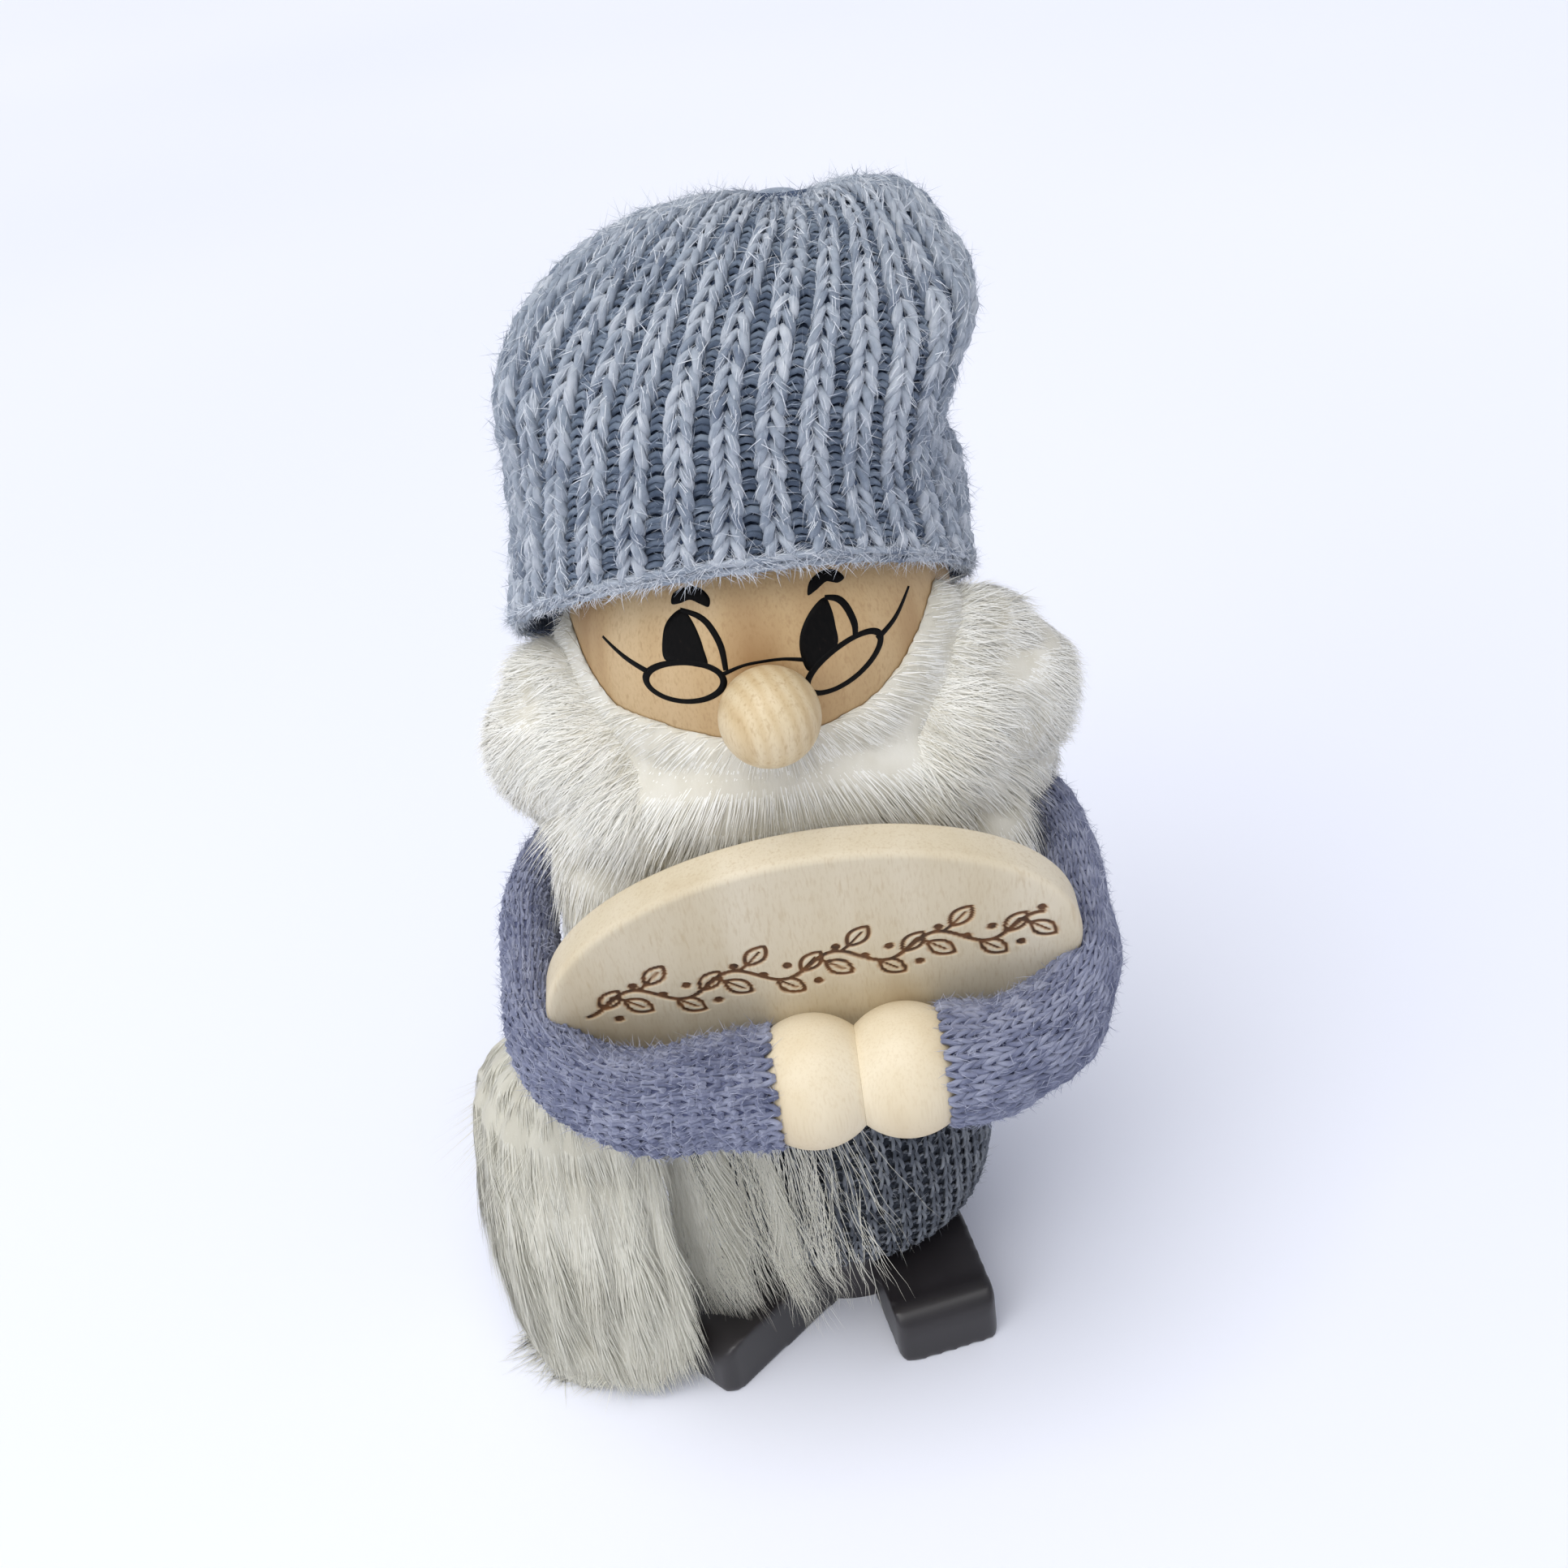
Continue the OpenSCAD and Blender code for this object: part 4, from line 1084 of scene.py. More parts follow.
def fuzz(name, knit, material, count, length, seed, tube, loose, lift, width=0.08):
    """Fibres that lie along the yarn of the knitting, or stray from it.

    tube is how many rings of points each length of yarn has, and how many points each ring.
    """
    base = bpy.data.objects.new("fuzz base", knit.data.copy())
    scene.collection.objects.link(base)
    area = sum(p.area for p in knit.data.polygons)
    n = len(knit.data.vertices)
    chance = np.random.RandomState(seed)
    rings, sides = tube
    run = points_of(base).reshape(-1, rings, sides, 3).mean(2)
    run = np.gradient(run, axis=1) * chance.choice((-1, 1), (len(run), 1, 1))
    run = np.repeat(unit(run.reshape(-1, 3)), sides, axis=0)
    give(base, "flow", "FLOAT_VECTOR", run + chance.normal(0, loose, (n, 3)))
    give(base, "lift", "FLOAT", chance.uniform(lift * 0.3, lift, n))
    give(base, "length", "FLOAT", np.full(n, length * MM))
    give(base, "thick", "FLOAT", np.ones(n))
    if "shade" in base.data.attributes:
        base.data.attributes.remove(base.data.attributes["shade"])
    return grow(name, base, STRANDS, Density=count / area, Seed=seed, Width=width * MM, Spread=loose,
                Clump=0.3, Clump_scale=300.0, Wave=0.8 * MM, Wave_scale=500.0, Sag=0.2, Steps=3,
                Material=material)


hat_halo = fuzz("hat_fuzz", hat_knit, hat_fuzz, 35000, 2.7, 31, (6, 6), 0.35, 0.30, 0.12)
hat_purl_halo = fuzz("hat_purl_fuzz", hat_purl, purl_fuzz_in_shade, 9000, 2.0, 35, (5, 5), 0.5, 0.35, 0.11)
hat_edge_halo = fuzz("hat_edge_fuzz", hat_edge, hat_fuzz, 8500, 2.6, 36, (6, 6), 1.0, 0.7, 0.09)
hat_stray = fuzz("hat_stray_fuzz", hat_knit, hat_fuzz, 8000, 3.6, 37, (6, 6), 1.2, 0.9, 0.06)
sweater_halo = fuzz("sweater_fuzz", sweater_knit, sweater_fuzz, 16000, 2.3, 32, (4, 4), 0.5, 0.4)
right_halo = fuzz("sleeve_right_fuzz", right_knit, sleeve_fuzz, 18000, 2.3, 33, (5, 5), 0.5, 0.45)
left_halo = fuzz("sleeve_left_fuzz", left_knit, sleeve_fuzz, 18000, 2.3, 34, (5, 5), 0.5, 0.45)

# ---- Wool beard ----

NOSE_ROOT = np.array([0.0, -26.0, 133.0])


def off_head(points, gap=0.15):
    """Points inside the head ball are pressed out to its skin."""
    middle = UP * HEAD_Z
    away = points - middle
    far = np.linalg.norm(away, axis=1)[:, None]
    return np.where(far < HEAD_R + gap, middle + away / far * (HEAD_R + gap), points)


def collar_balls():
    """Small balls of wool laid along the beard line, where the wool starts on the face."""
    line = [(-27, 7), (-25, 1.5), (-22.3, -2.4), (-15, -3.7), (-8, -5.2), (0, -5.8), (8, -5.4), (15, -3.2),
            (19, -0.4), (22.5, 3.5), (25.5, 8)]
    balls = []
    for (x0, z0), (x1, z1) in zip(line, line[1:]):
        for step in range(4):
            x, z = x0 + (x1 - x0) * step / 4, z0 + (z1 - z0) * step / 4
            for down, radius, out in ((1.6, 1.5, -0.3), (4.5, 2.9, -0.2), (8.5, 4.4, 0.2), (13.5, 6.0, 0.3)):
                away = np.array([x * (1 + 0.012 * down), 0, z - down])
                depth = HEAD_R ** 2 - away[0] ** 2 - away[2] ** 2
                if depth < 1:
                    continue
                skin = np.array([away[0], -math.sqrt(depth), away[2]])
                balls.append((*(skin * (1 + out / HEAD_R) + UP * HEAD_Z), radius))
    return balls


def wool_core(name, node, balls, voxel, outward, smoothing):
    """A closed body of wool from a CAD node and some balls, kept off the head, the plate and the floor."""
    core = soft_copy(name, node, voxel, smoothing, beard_wool, balls)
    points = from_axis(points_of(core)) + normals_of(core) * outward
    points = off_plate(off_head(points))
    points[:, 2] = np.maximum(points[:, 2], 0.5)
    move_points(core, points)
    return core


def wool(name, core, material, flow_of, count, width, seed, clump, spread, wave, sag=0.12):
    """Strands that grow from the core along flow_of(points, normals)."""
    points, normals = from_axis(points_of(core)), normals_of(core)
    flow, length, lift, thick = flow_of(points, normals)
    base = bpy.data.objects.new("wool base", core.data.copy())
    scene.collection.objects.link(base)
    give(base, "flow", "FLOAT_VECTOR", flow)
    give(base, "length", "FLOAT", length * MM)
    give(base, "lift", "FLOAT", lift)
    give(base, "thick", "FLOAT", thick)
    corners = [list(p.vertices) for p in core.data.polygons]
    area = sum(p.area * thick[c].mean() for p, c in zip(core.data.polygons, corners))
    return grow(name, base, STRANDS, Density=count / area, Seed=seed, Width=width * MM, Spread=spread,
                Clump=clump, Clump_scale=90.0, Wave=wave * MM, Wave_scale=110.0, Sag=sag, Steps=4,
                Material=material)


def combed(points):
    """Out and down from the middle of the face, turning straight down below the chin."""
    away = unit(points - NOSE_ROOT)
    low = np.clip((114 - points[:, 2]) / 14, 0, 1)[:, None]
    return away * (1 - 0.75 * low) - UP * (0.45 + 0.6 * low)


def off_skin(points):
    """How far the points lie outside the head ball."""
    return np.linalg.norm(points - UP * HEAD_Z, axis=1) - HEAD_R


def cheek_flow(points, normals):
    n = len(points)
    return combed(points), np.clip(3 + off_skin(points), 3, 8.5), np.full(n, 0.03), np.ones(n)


def chin_flow(points, normals):
    x, y, z = points.T
    length = np.clip(np.minimum(4 + off_skin(points), 6 + (130 - z) * 0.5), 4, 12)
    hidden = (z < 88) | ((np.hypot(x, y) < 20) & (z < 104))
    return combed(points), length, np.full(len(points), 0.03), np.where(hidden, 0.0, 1.0)


def fall_flow(points, normals):
    """Long locks, straight down with a slow sway."""
    x, _, z = points.T
    sway = 0.06 * np.sin(z * 0.11 + x * 0.3) + 0.04
    flow = np.stack([sway, np.full_like(x, -0.05), -np.ones_like(x)], 1)
    length = np.clip(z * 0.8, 6, 26) * np.clip(1.1 - 2.2 * np.clip(normals[:, 2], 0, 1), 0.22, 1)
    front = np.where(normals[:, 1] > 0.3, 0.35, 1.0)
    return flow, length, np.full(len(points), 0.012), front * np.clip((z + 4) / 20, 0.5, 1)


def low_fall_flow(points, normals):
    """More locks over the lower half, ragged toward the floor."""
    flow, length, lift, _ = fall_flow(points, normals)
    z = points[:, 2]
    return flow, np.clip(length, 9, 22), lift + 0.03, np.where((z < 46) & (normals[:, 1] < 0.3), 1.0, 0.0)


# Balls of wool that fill out the CAD shapes: x, y, z and radius
RIGHT_CHEEK = [(-31.5, -5, 121, 11), (-31.5, -6, 130, 6.5), (-30, -9, 133, 4), (-32.5, -4, 110, 8.5),
               (-31, -5, 103, 7), (-26, -14, 113, 8.5), (-24.5, -16, 121, 7.5), (-22, -19, 116, 8),
               (-27, -12, 128, 5)]
LEFT_CHEEK = [(33, -5, 118, 13), (32, -7, 129, 7), (29.5, -9, 134, 4), (34, -5, 107, 9), (27, -14, 112, 9),
              (26, -16, 121, 8.5), (22, -19, 116, 8), (27, -12, 129, 6)]
BOTH_SIDES = [(27, -15, 110, 8.5), (28.5, -15.5, 101, 8.5), (28.5, -15, 92, 8), (21, -19, 99, 7),
              (13, -21, 96, 6), (24, -17, 115, 7), (20, -21, 112, 7)]
RIGHT_SIDE = [(-30, -18, 96, 6.5), (-29.5, -18, 88, 6.5), (-29.5, -16, 104, 7)]
behind_plate = [(side * x, y, z, r) for side in (-1, 1) for x, y, z, r in BOTH_SIDES] + RIGHT_SIDE

cheek_right_core = wool_core("cheek_wool_right_core", "cheek_wool_right", RIGHT_CHEEK, 1.2, 0.3, 16)
cheek_left_core = wool_core("cheek_wool_left_core", "cheek_wool_left", LEFT_CHEEK, 1.2, 0.3, 16)
beard_core = wool_core("beard_core", "beard", collar_balls() + behind_plate, 1.1, 0.2, 10)


def cut_below(piece, z):
    """Takes away the part of the piece below z millimetres and closes the cut."""
    work = bmesh.new()
    work.from_mesh(piece.data)
    everything = list(work.verts) + list(work.edges) + list(work.faces)
    bmesh.ops.bisect_plane(work, geom=everything, plane_co=(0, 0, z * MM), plane_no=(0, 0, 1),
                           clear_inner=True)
    bmesh.ops.holes_fill(work, edges=[e for e in work.edges if e.is_boundary])
    work.to_mesh(piece.data)
    work.free()


CHIN_END = 72
cut_below(beard_core, CHIN_END)


def fall_shape():
    """The long fall: a thick curtain of locks from under the right sleeve round the side to the floor."""
    spine = smooth_line([(-52, -2), (-57.5, -10), (-56, -20), (-49, -27.5), (-39, -31), (-29, -33)], 10)
    count = len(spine)
    way = unit(np.gradient(spine, axis=0))
    side = np.stack([way[:, 1], -way[:, 0]], 1)
    share = np.linspace(0, 1, count)
    foot = np.interp(share, (0, 0.18, 0.3, 0.55, 0.7, 0.85, 1), (16, 4, 0.6, 0.6, 6, 9, 24))
    shoulder = smooth_line([(-30, -16), (-30.5, -16.3), (-31, -16.6), (-30, -17), (-29, -17.5),
                            (-27.5, -18)], 10)
    rows = []
    for v in np.linspace(0, 1, 46):
        z = foot + (78 - foot) * v
        spread = np.interp(z, (0, 58, 64, 70, 78), (1, 1, 0.85, 0.5, 0.12))[:, None]
        bulge = np.interp(z, (0, 12, 37, 50, 60), (0.2, 0.0, -1.2, -2.6, -4.5))[:, None]
        middle = shoulder + (spine + side * bulge - shoulder) * spread
        lock = 0.7 * np.sin(share * 52 + 1.2 * np.sin(z * 0.09)) + 0.4 * np.sin(share * 97 + z * 0.05)
        thick = np.interp(z, (0, 10, 40, 66, 78), (2.2, 3.6, 5.2, 4.4, 2.6))
        thick = thick * np.interp(share, (0, 0.1, 0.8, 1), (0.4, 1, 0.8, 0.35))
        thick = (thick + 0.7 * lock * np.clip(v * 4, 0.3, 1))[:, None]
        outer = np.column_stack([middle + side * thick, z])
        inner = np.column_stack([middle - side * thick * 0.8, z])
        rows.append(np.concatenate([outer, inner[::-1]]))
    rows = np.array(rows)
    columns = rows.shape[1]
    faces = grid_faces(len(rows), columns)
    last = (len(rows) - 1) * columns
    for c in range(count - 1):
        faces.append((c + 1, c, columns - 1 - c, columns - 2 - c))
        faces.append((last + c, last + c + 1, last + columns - 2 - c, last + columns - 1 - c))
    core = shown("beard_fall_core", placed(rows.reshape(-1, 3)), faces, shaded_fall_wool)
    outwards(core)
    return core


fall_core = fall_shape()
cheek_right_wool = wool("cheek_wool_right_strands", cheek_right_core, beard_wool, cheek_flow, 21000, 0.13,
                        41, 0.4, 0.4, 2.2)
cheek_left_wool = wool("cheek_wool_left_strands", cheek_left_core, beard_wool, cheek_flow, 21000, 0.13,
                       42, 0.4, 0.4, 2.2)
chin_wool = wool("beard_chin_strands", beard_core, beard_wool, chin_flow, 21000, 0.13, 43, 0.3, 0.16, 1.8)
low_fall_wool = wool("beard_low_fall_strands", fall_core, shaded_fall_wool, low_fall_flow, 13000, 0.17,
                     46, 0.2, 0.12, 3.0, 0.05)
fall_wool = wool("beard_fall_strands", fall_core, shaded_fall_wool, fall_flow, 23000, 0.15, 45, 0.14, 0.08, 2.4)


WISP_LEFT, WISP_WIDTH = -34, 38


def wisps():
    """Thin strands that fall from under the sleeve over the sweater's front and the right shoe."""
    columns, rows = 24, 12
    x, z = np.meshgrid(np.linspace(WISP_LEFT, WISP_LEFT + WISP_WIDTH, columns), np.linspace(26, 66, rows))
    round_body = np.sqrt(np.clip(31.5 ** 2 - x ** 2, 0, None))
    y = -np.maximum(round_body, 27.0) - np.sin(x * 0.5)
    points = np.stack([x, y, z], -1).reshape(-1, 3)
    base = shown("wisp base", placed(points), grid_faces(rows, columns, False), None)
    x, z = points[:, 0], points[:, 2]
    share = (x - WISP_LEFT) / WISP_WIDTH
    sway = 0.16 * np.sin(x * 0.8) + 0.10
    give(base, "flow", "FLOAT_VECTOR", np.stack([sway, -0.16 - 0.1 * (z < 40), -np.ones(len(x))], 1))
    give(base, "length", "FLOAT", np.clip(z - 8, 10, 40) * (1 - 0.3 * share) * MM)
    give(base, "lift", "FLOAT", np.full(len(x), 0.03))
    patchy = 0.55 + 0.45 * np.sin(x * 0.9 + 1.3 * np.sin(z * 0.12))
    give(base, "thick", "FLOAT", np.clip(1.1 - share, 0.0, 1) ** 1.6 * patchy)
    return grow("beard_wisps", base, STRANDS, Density=5.2e6, Seed=44, Width=0.10 * MM, Spread=0.16, Clump=0.6,
                Clump_scale=110.0, Wave=5 * MM, Wave_scale=90.0, Sag=0.05, Steps=7, Material=shaded_fall_wool)


beard_wisps = wisps()

# ---- Wadding inside the hat and the sleeves ----

FILL_ABOVE_BRIM = 4.5


def make_hat_fill():
    """The crown's wadding, kept above the slanted brim."""
    fill = soft_copy("hat_fill", "hat_wadding", 1.2, 4, cotton)
    points = from_axis(points_of(fill))
    points[:, 2] = np.maximum(points[:, 2], BRIM_Z + FILL_ABOVE_BRIM - BRIM_SLANT * points[:, 1])
    move_points(fill, points)
    return fill


hat_fill = make_hat_fill()


def sleeve_fill(name, side):
    """Wadding between the wire and the sleeve, up to the hand ball."""
    skin = sleeve_surface(side, 1.75)
    core = sleeve_surface(side)
    columns, rows = 28, 40
    u = np.arange(columns) / columns
    outer, inner = [], []
    for row in np.linspace(0.02, 0.88, rows):
        ring = skin(u, np.full(columns, row))
        middle = core(np.array([0.0, 0.5]), np.full(2, row)).mean(0)
        puff = 0.12 * np.sin(row * 60 + u * 12)[:, None]
        outer.append(middle + (ring - middle) * (0.985 - 0.02 * np.abs(puff)))
        inner.append(middle + unit(ring - middle) * 1.2)
    return shell(name, np.array(outer), np.array(inner), cotton, False)


right_fill = sleeve_fill("sleeve_right_fill", -1)
left_fill = sleeve_fill("sleeve_left_fill", 1)

# ---- Printed face: brows, eyes and small spectacles in black ink on the head ----

INK_PROUD = 0.03


def on_face(points):
    """Flat places on the face (across, up from the head's middle) on the head's skin, facing -Y."""
    points = np.asarray(points, float)
    depth = np.sqrt(np.maximum((HEAD_R + INK_PROUD) ** 2 - points[:, 0] ** 2 - points[:, 1] ** 2, 0.01))
    return np.stack([points[:, 0], -depth, points[:, 1] + HEAD_Z], 1)


def stroke(points, widths, closed=False):
    """Flat points and faces of a pen stroke whose width runs through the given widths."""
    line = smooth_line(points, 8, closed)
    n = len(line)
    if closed:
        way = np.roll(line, -1, 0) - np.roll(line, 1, 0)
    else:
        way = np.gradient(line, axis=0)
    way /= np.linalg.norm(way, axis=1)[:, None]
    side = np.stack([-way[:, 1], way[:, 0]], 1)
    wide = np.interp(np.linspace(0, 1, n), np.linspace(0, 1, len(widths)), widths)[:, None] / 2
    rings = [line - side * wide, line, line + side * wide]
    flat = np.concatenate(rings)
    faces = []
    for r in range(2):
        for i in range(n if closed else n - 1):
            j = (i + 1) % n
            faces.append((r * n + i, (r + 1) * n + i, (r + 1) * n + j, r * n + j))
    return flat, faces


def patch(points):
    """Flat points and faces of a filled shape, in rings round its middle."""
    edge = smooth_line(points, 5, True)
    middle = edge.mean(0)
    shares = (1.0, 0.75, 0.5, 0.25)
    n = len(edge)
    flat = np.concatenate([middle + (edge - middle) * k for k in shares] + [middle[None]])
    faces = []
    for r in range(len(shares) - 1):
        for i in range(n):
            j = (i + 1) % n
            faces.append((r * n + i, r * n + j, (r + 1) * n + j, (r + 1) * n + i))
    last = (len(shares) - 1) * n
    for i in range(n):
        faces.append((last + i, last + (i + 1) % n, len(flat) - 1))
    return flat, faces


def ellipse(left, top, right, bottom):
    """Twelve places round the slanted oval through its four ends."""
    ends = np.array([left, top, right, bottom], float)
    middle = (ends[0] + ends[2] + ends[1] + ends[3]) / 4
    long, short = (ends[2] - ends[0]) / 2, (ends[1] - ends[3]) / 2
    return [middle + long * math.cos(a) + short * math.sin(a) for a in np.arange(12) * math.pi / 6]


INK_SHAPES = (
    patch([(-11.2, 13.4), (-10.8, 14.6), (-9.5, 15.3), (-8.0, 15.6), (-6.7, 15.2), (-5.9, 14.2), (-6.2, 13.2),
           (-7.2, 13.5), (-8.6, 14.0), (-10.1, 13.5)]),
    patch([(7.2, 12.9), (7.6, 14.3), (8.8, 15.0), (10.2, 15.1), (11.5, 14.6), (12.4, 13.5), (11.4, 13.2),
           (10.0, 13.8), (8.4, 13.2)]),
    patch([(-9.9, 12.9), (-11.9, 11.5), (-13.0, 9.4), (-13.3, 6.1), (-10.6, 5.7), (-7.6, 5.5), (-7.7, 8.0),
           (-8.1, 9.9), (-8.8, 11.7)]),
    patch([(9.3, 12.1), (7.2, 10.9), (5.6, 8.6), (5.2, 6.0), (5.9, 3.2), (7.7, 3.6), (10.3, 5.6), (10.4, 8.2),
           (10.1, 10.6)]),
    stroke([(-10.1, 12.8), (-7.8, 12.1), (-6.4, 10.8), (-5.3, 8.2), (-5.1, 4.9)], (0.5, 0.8, 0.9, 0.9, 0.7)),
    stroke([(9.4, 12.1), (11.1, 11.4), (12.2, 10.0), (13.0, 7.6), (12.9, 5.9)], (0.5, 0.8, 0.9, 0.9, 0.7)),
    stroke(ellipse((-16.4, 2.6), (-10.7, 6.0), (-5.6, 3.2), (-11.4, 0.1)), (0.95, 0.75, 0.95, 0.75, 0.95),
           True),
    stroke(ellipse((5.9, 1.9), (12.6, 5.9), (16.2, 3.1), (9.2, -0.6)), (0.9, 0.75, 0.95, 0.75, 0.9), True),
    stroke([(-21.9, 6.8), (-19.0, 5.1), (-16.1, 3.9)], (0.4, 0.75, 0.9)),
    stroke([(15.9, 4.2), (18.8, 5.7), (21.3, 8.3)], (0.9, 0.7, 0.35)),
    stroke([(-5.5, 4.4), (-2.8, 5.4), (-0.1, 5.7), (2.8, 5.6), (5.6, 4.9)], (0.6, 0.42, 0.4, 0.42, 0.6)),
)


def make_face_print():
    f = Finish("printing ink", Roughness=0.6)
    f.shader.inputs["Specular IOR Level"].default_value = 0.1
    dry = f.noise(f.coordinates((1, 1, 0.3)), 2600, 2)
    f.paint(f.ramp(dry, ((0.3, "050505"), (0.68, "0d0b0a"), (0.8, "241c15"))))
    f.bump(dry, 0.01, 0.4)
    points, faces = [], []
    for flat, flat_faces in INK_SHAPES:
        start = sum(len(p) for p in points)
        points.append(on_face(flat))
        faces += [tuple(start + i for i in face) for face in flat_faces]
    piece = shown("face_print", placed(np.concatenate(points)), faces, f.material)
    work = bmesh.new()
    work.from_mesh(piece.data)
    bmesh.ops.recalc_face_normals(work, faces=work.faces)
    work.normal_update()
    back = [face for face in work.faces if face.normal.y > 0]
    bmesh.ops.reverse_faces(work, faces=back)
    work.to_mesh(piece.data)
    work.free()
    wall = piece.modifiers.new("ink", "SOLIDIFY")
    wall.thickness = 0.06 * MM
    wall.offset = -1
    return applied(piece)


face_print = make_face_print()

# ---- Plate: an oval of pale wood with a burned vine ----

VINE_LEFT, VINE_RIGHT, VINE_Y, VINE_SWING, VINE_WAVE = -33.5, 34.5, 3.4, 2.0, 15.0
PLATE_EDGE = 1.1
BURN_DEPTH = 0.28


def vine_lines():
    """Middle lines and widths of the burned vine: a stem, leaves on short stalks, and berries."""
    lines = []
    x = np.linspace(VINE_LEFT, VINE_RIGHT, 140)
    lines.append((np.stack([x, VINE_Y + VINE_SWING * np.sin(2 * math.pi * x / VINE_WAVE)], 1), 0.6))
    knot = VINE_LEFT + 1.0
    side = 1
    while knot < VINE_RIGHT - 3:
        y = VINE_Y + VINE_SWING * math.sin(2 * math.pi * knot / VINE_WAVE)
        tip = np.array([knot + 4.6, y + side * 4.2])
        root = np.array([knot + 1.3, y + side * 0.9])
        lines.append((np.array([[knot, y], root]), 0.5))
        way = tip - root
        across = np.array([-way[1], way[0]])
        for s in (-1, 1):
            t = np.linspace(0, 1, 14)[:, None]
            lines.append((root + way * t + across * s * 0.30 * np.sin(math.pi * t) ** 0.8, 0.5))
        lines.append((np.array([root, root + way * 0.7]), 0.3))
        berry = np.array([knot + 3.2, y - side * 1.9])
        lines.append((np.array([berry, berry + 0.01]), 1.3))
        knot += VINE_WAVE / 4
        side = -side
    return lines


def burned(points):
    """How deeply the wood is burned at flat places on the plate, from 0 to 1."""
    deep = np.zeros(len(points))
    near = np.where((points[:, 1] > VINE_Y - 7) & (points[:, 1] < VINE_Y + 8))[0]
    spots = points[near]
    for line, width in vine_lines():
        gap = np.full(len(spots), 9.0)
        for a, b in zip(line[:-1], line[1:]):
            way = b - a
            t = np.clip(((spots - a) @ way) / (way @ way), 0, 1)
            gap = np.minimum(gap, np.linalg.norm(spots - a - t[:, None] * way, axis=1))
        deep[near] = np.maximum(deep[near], np.clip((width / 2 + 0.16 - gap) / 0.24, 0, 1))
    return deep


def plate_wood():
    f = wood("plate wood", "ddd2ba", "d3c6aa", "bda884", (0, 90, -5.5), 30, 0.12, 0.35, 0.55, 0.035)
    base = f.shader.inputs["Base Color"].links[0].from_socket
    burn = f.attribute("burn")
    uneven = f.noise(f.coordinates((1, 1, 1)), 700, 3)
    char = f.ramp(uneven, ((0.3, "2d1a0e"), (0.7, "6e4422")))
    scorch = f.mix(f.span(burn, 0.0, 0.35, 0, 0.55), base, colour("b98a55"))
    f.paint(f.mix(f.span(burn, 0.3, 0.75, 0, 0.95), scorch, char))
    return f.material


def make_plate():
    """Front, rounded edge and back as rings of one closed oval, with a fine front for the burned lines."""
    turns = 640
    a = np.linspace(0, 2 * math.pi, turns, endpoint=False)
    oval = np.stack([PLATE_A * np.cos(a), PLATE_B * np.sin(a)], 1)
    profile = [(share, 0.0) for share in np.linspace(0.004, 0.955, 88)]
    edge = [(PLATE_EDGE * (math.sin(turn) - 1), PLATE_EDGE * (math.cos(turn) - 1))
            for turn in np.radians(np.linspace(15, 90, 5))]
    profile += [*edge, (0.0, -PLATE_T / 2)] + [(reach, -PLATE_T - z) for reach, z in reversed(edge)]
    profile += [(share, -PLATE_T) for share in (0.93, 0.7, 0.4, 0.1)]
    normal = np.stack([np.cos(a) / PLATE_A, np.sin(a) / PLATE_B], 1)
    normal /= np.linalg.norm(normal, axis=1)[:, None]
    rows, deep = [], []
    for reach, z in profile:
        flat = oval * reach if reach > 0 else oval + normal * reach
        burn = burned(flat) if z == 0.0 and reach > 0 else np.zeros(turns)
        rows.append(np.column_stack([flat, z - BURN_DEPTH * burn]))
        deep.append(burn)
    points = np.vstack([np.concatenate(rows), [[0, 0, 0], [0, 0, -PLATE_T]]])
    deep = np.concatenate(deep + [np.zeros(2)])
    faces = [tuple(reversed(face)) for face in grid_faces(len(rows), turns)]
    last = (len(rows) - 1) * turns
    for i in range(turns):
        j = (i + 1) % turns
        faces.append((i, j, len(points) - 2))
        faces.append((last + j, last + i, len(points) - 1))
    piece = shown("plate_board", placed(through(PLATE_FRAME, points)), faces, plate_wood())
    give(piece, "burn", "FLOAT", deep)
    return piece


plate_piece = make_plate()

# ---- Shoes with softly rounded edges ----

shoe_right = soft_copy("shoe_right_block", "shoe_right", 0.55, 5, black)
shoe_left = soft_copy("shoe_left_block", "shoe_left", 0.55, 5, black)
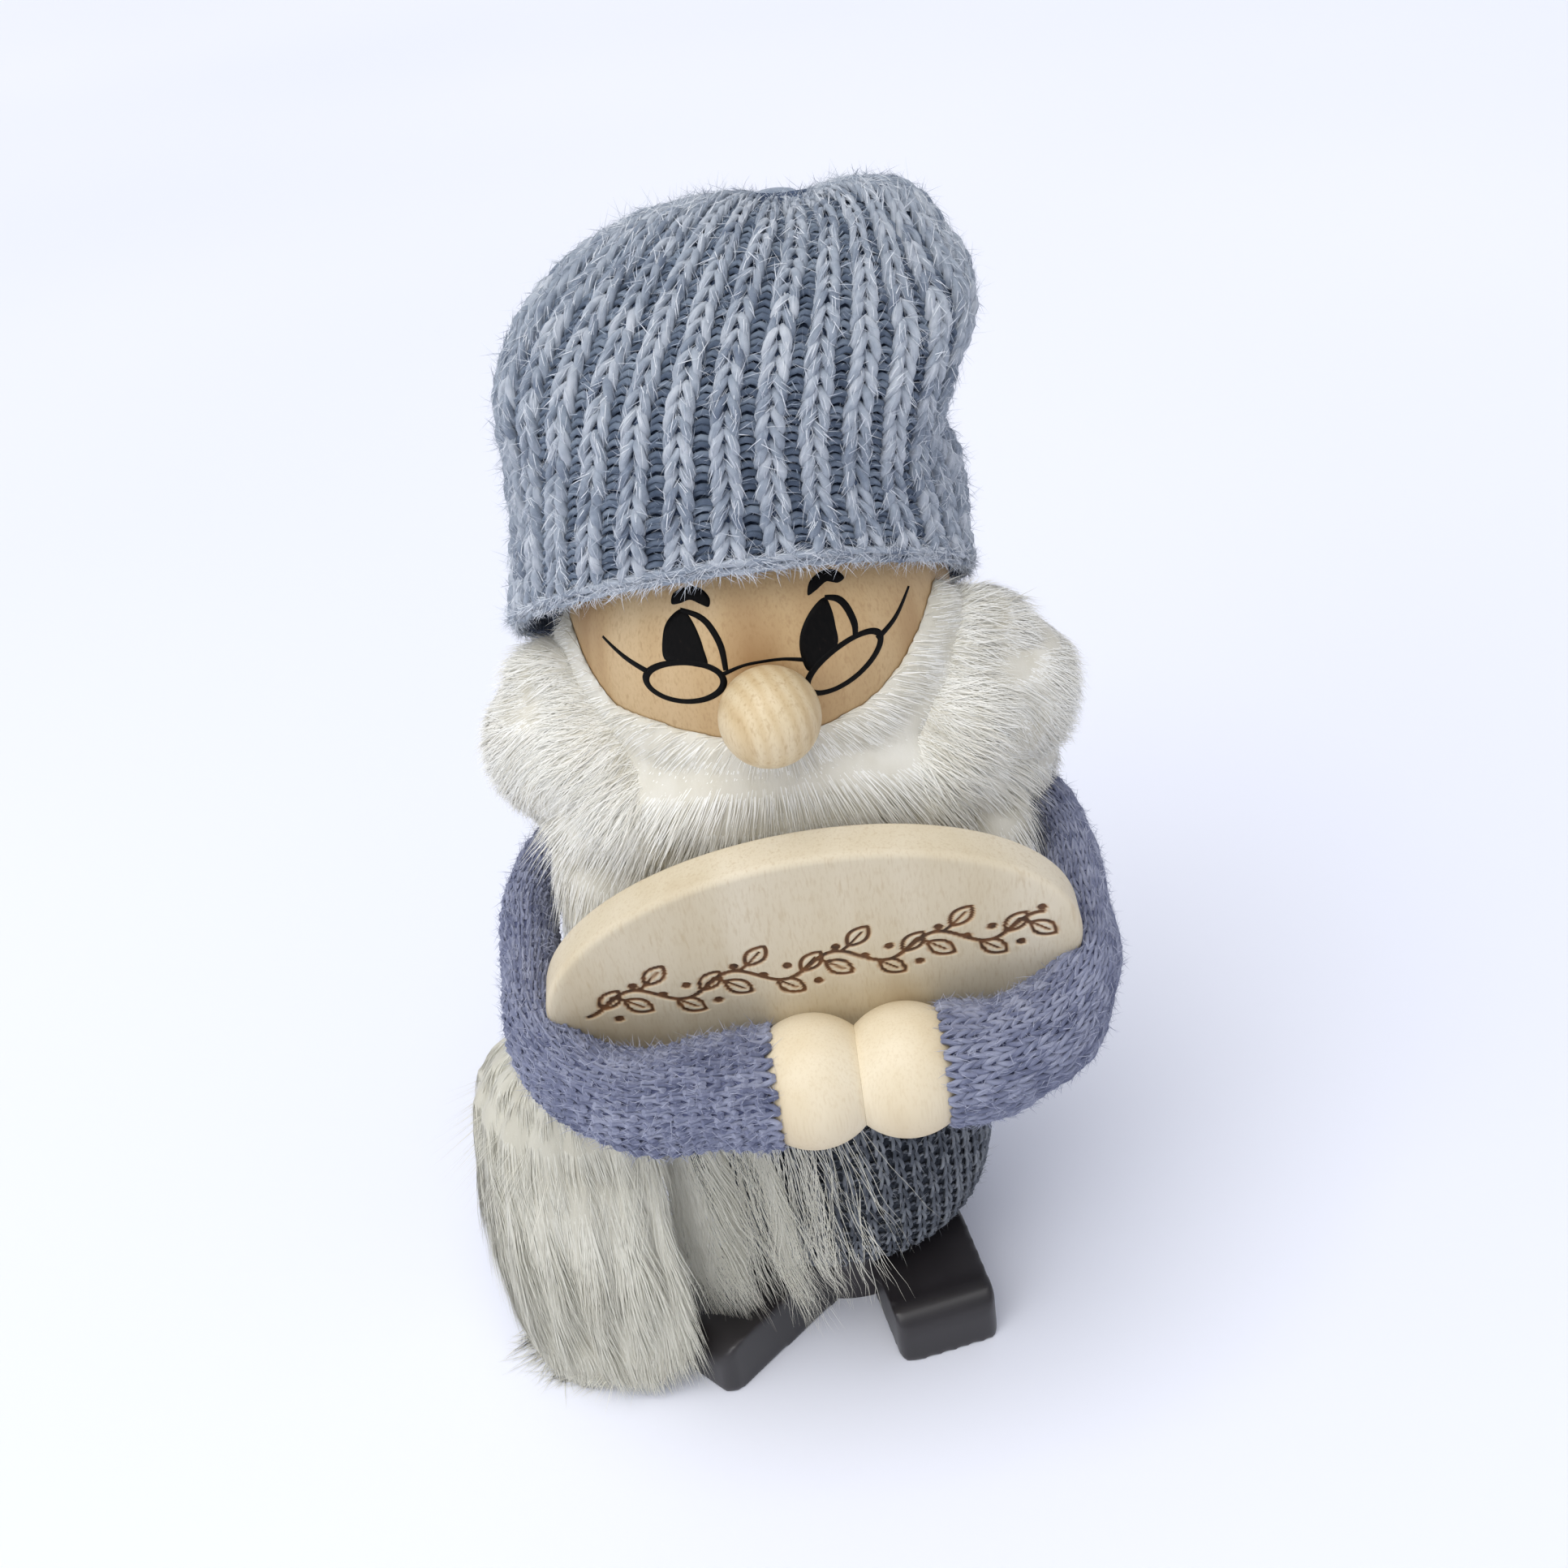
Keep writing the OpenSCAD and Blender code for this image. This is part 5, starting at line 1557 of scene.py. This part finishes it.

# ---- Riding and replacing ----

# Each piece with its body, its slot and the CAD node it stands for, if it stands for one
PIECES = (
    (hat_base, "hat", "hat_knit", "hat"), (hat_knit, "hat", "hat_knit"), (hat_purl, "hat", "hat_knit"),
    (hat_edge, "hat", "hat_knit"), (hat_halo, "hat", "hat_knit"), (hat_purl_halo, "hat", "hat_knit"),
    (hat_edge_halo, "hat", "hat_knit"), (hat_stray, "hat", "hat_knit"), (hat_tip, "hat", "hat_knit"),
    (hat_fill, "hat", "wadding", "hat_wadding"),
    (sweater_base, "figure", "sweater_knit", "sweater"), (sweater_knit, "figure", "sweater_knit"),
    (sweater_halo, "figure", "sweater_knit"),
    (right_ground, "arms", "sleeve_knit", "sleeve_right"), (right_knit, "arms", "sleeve_knit"),
    (right_halo, "arms", "sleeve_knit"), (left_ground, "arms", "sleeve_knit", "sleeve_left"),
    (left_knit, "arms", "sleeve_knit"), (left_halo, "arms", "sleeve_knit"),
    (right_fill, "arms", "wadding", "arm_wadding_right"), (left_fill, "arms", "wadding", "arm_wadding_left"),
    (cheek_right_core, "figure", "wool", "cheek_wool_right"), (cheek_right_wool, "figure", "wool"),
    (cheek_left_core, "figure", "wool", "cheek_wool_left"), (cheek_left_wool, "figure", "wool"),
    (beard_core, "figure", "wool", "beard"), (chin_wool, "figure", "wool"), (fall_wool, "figure", "wool"),
    (low_fall_wool, "figure", "wool"), (beard_wisps, "figure", "wool"), (fall_core, "figure", "wool"),
    (face_print, "figure", "face_wood"), (plate_piece, "arms", "plate_wood", "plate"),
    (shoe_right, "figure", "black_paint", "shoe_right"), (shoe_left, "figure", "black_paint", "shoe_left"))
for piece, body, slot, *nodes in PIECES:
    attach(piece, body)
    if nodes:
        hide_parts(*nodes)

NODE_FINISH = {"base_block": black, "shoe_dowel_right": dowel_wood, "shoe_dowel_left": dowel_wood,
               "base_dowel": dowel_wood, "neck_dowel": dowel_wood, "nose_dowel": dowel_wood,
               "body": body_wood, "head": face_wood, "nose": nose_wood, "hand_right": plain_maple,
               "hand_left": plain_maple, "arm_wire": wire_steel}
for node, material in NODE_FINISH.items():
    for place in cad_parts[node].material_slots:
        place.material = material


def make_floor():
    f = Finish("pale floor", Roughness=0.9)
    f.paint(f.ramp(f.noise(f.coordinates((1, 1, 1)), 2.0, 1), ((0.3, "eef1fb"), (0.7, "f3f5fd"))))
    reach = 3.0
    corners = [(-reach, -reach, 0), (reach, -reach, 0), (reach, reach, 0), (-reach, reach, 0)]
    floor = shown("floor", corners, [(0, 1, 2, 3)], f.material, smooth=False)


make_floor()
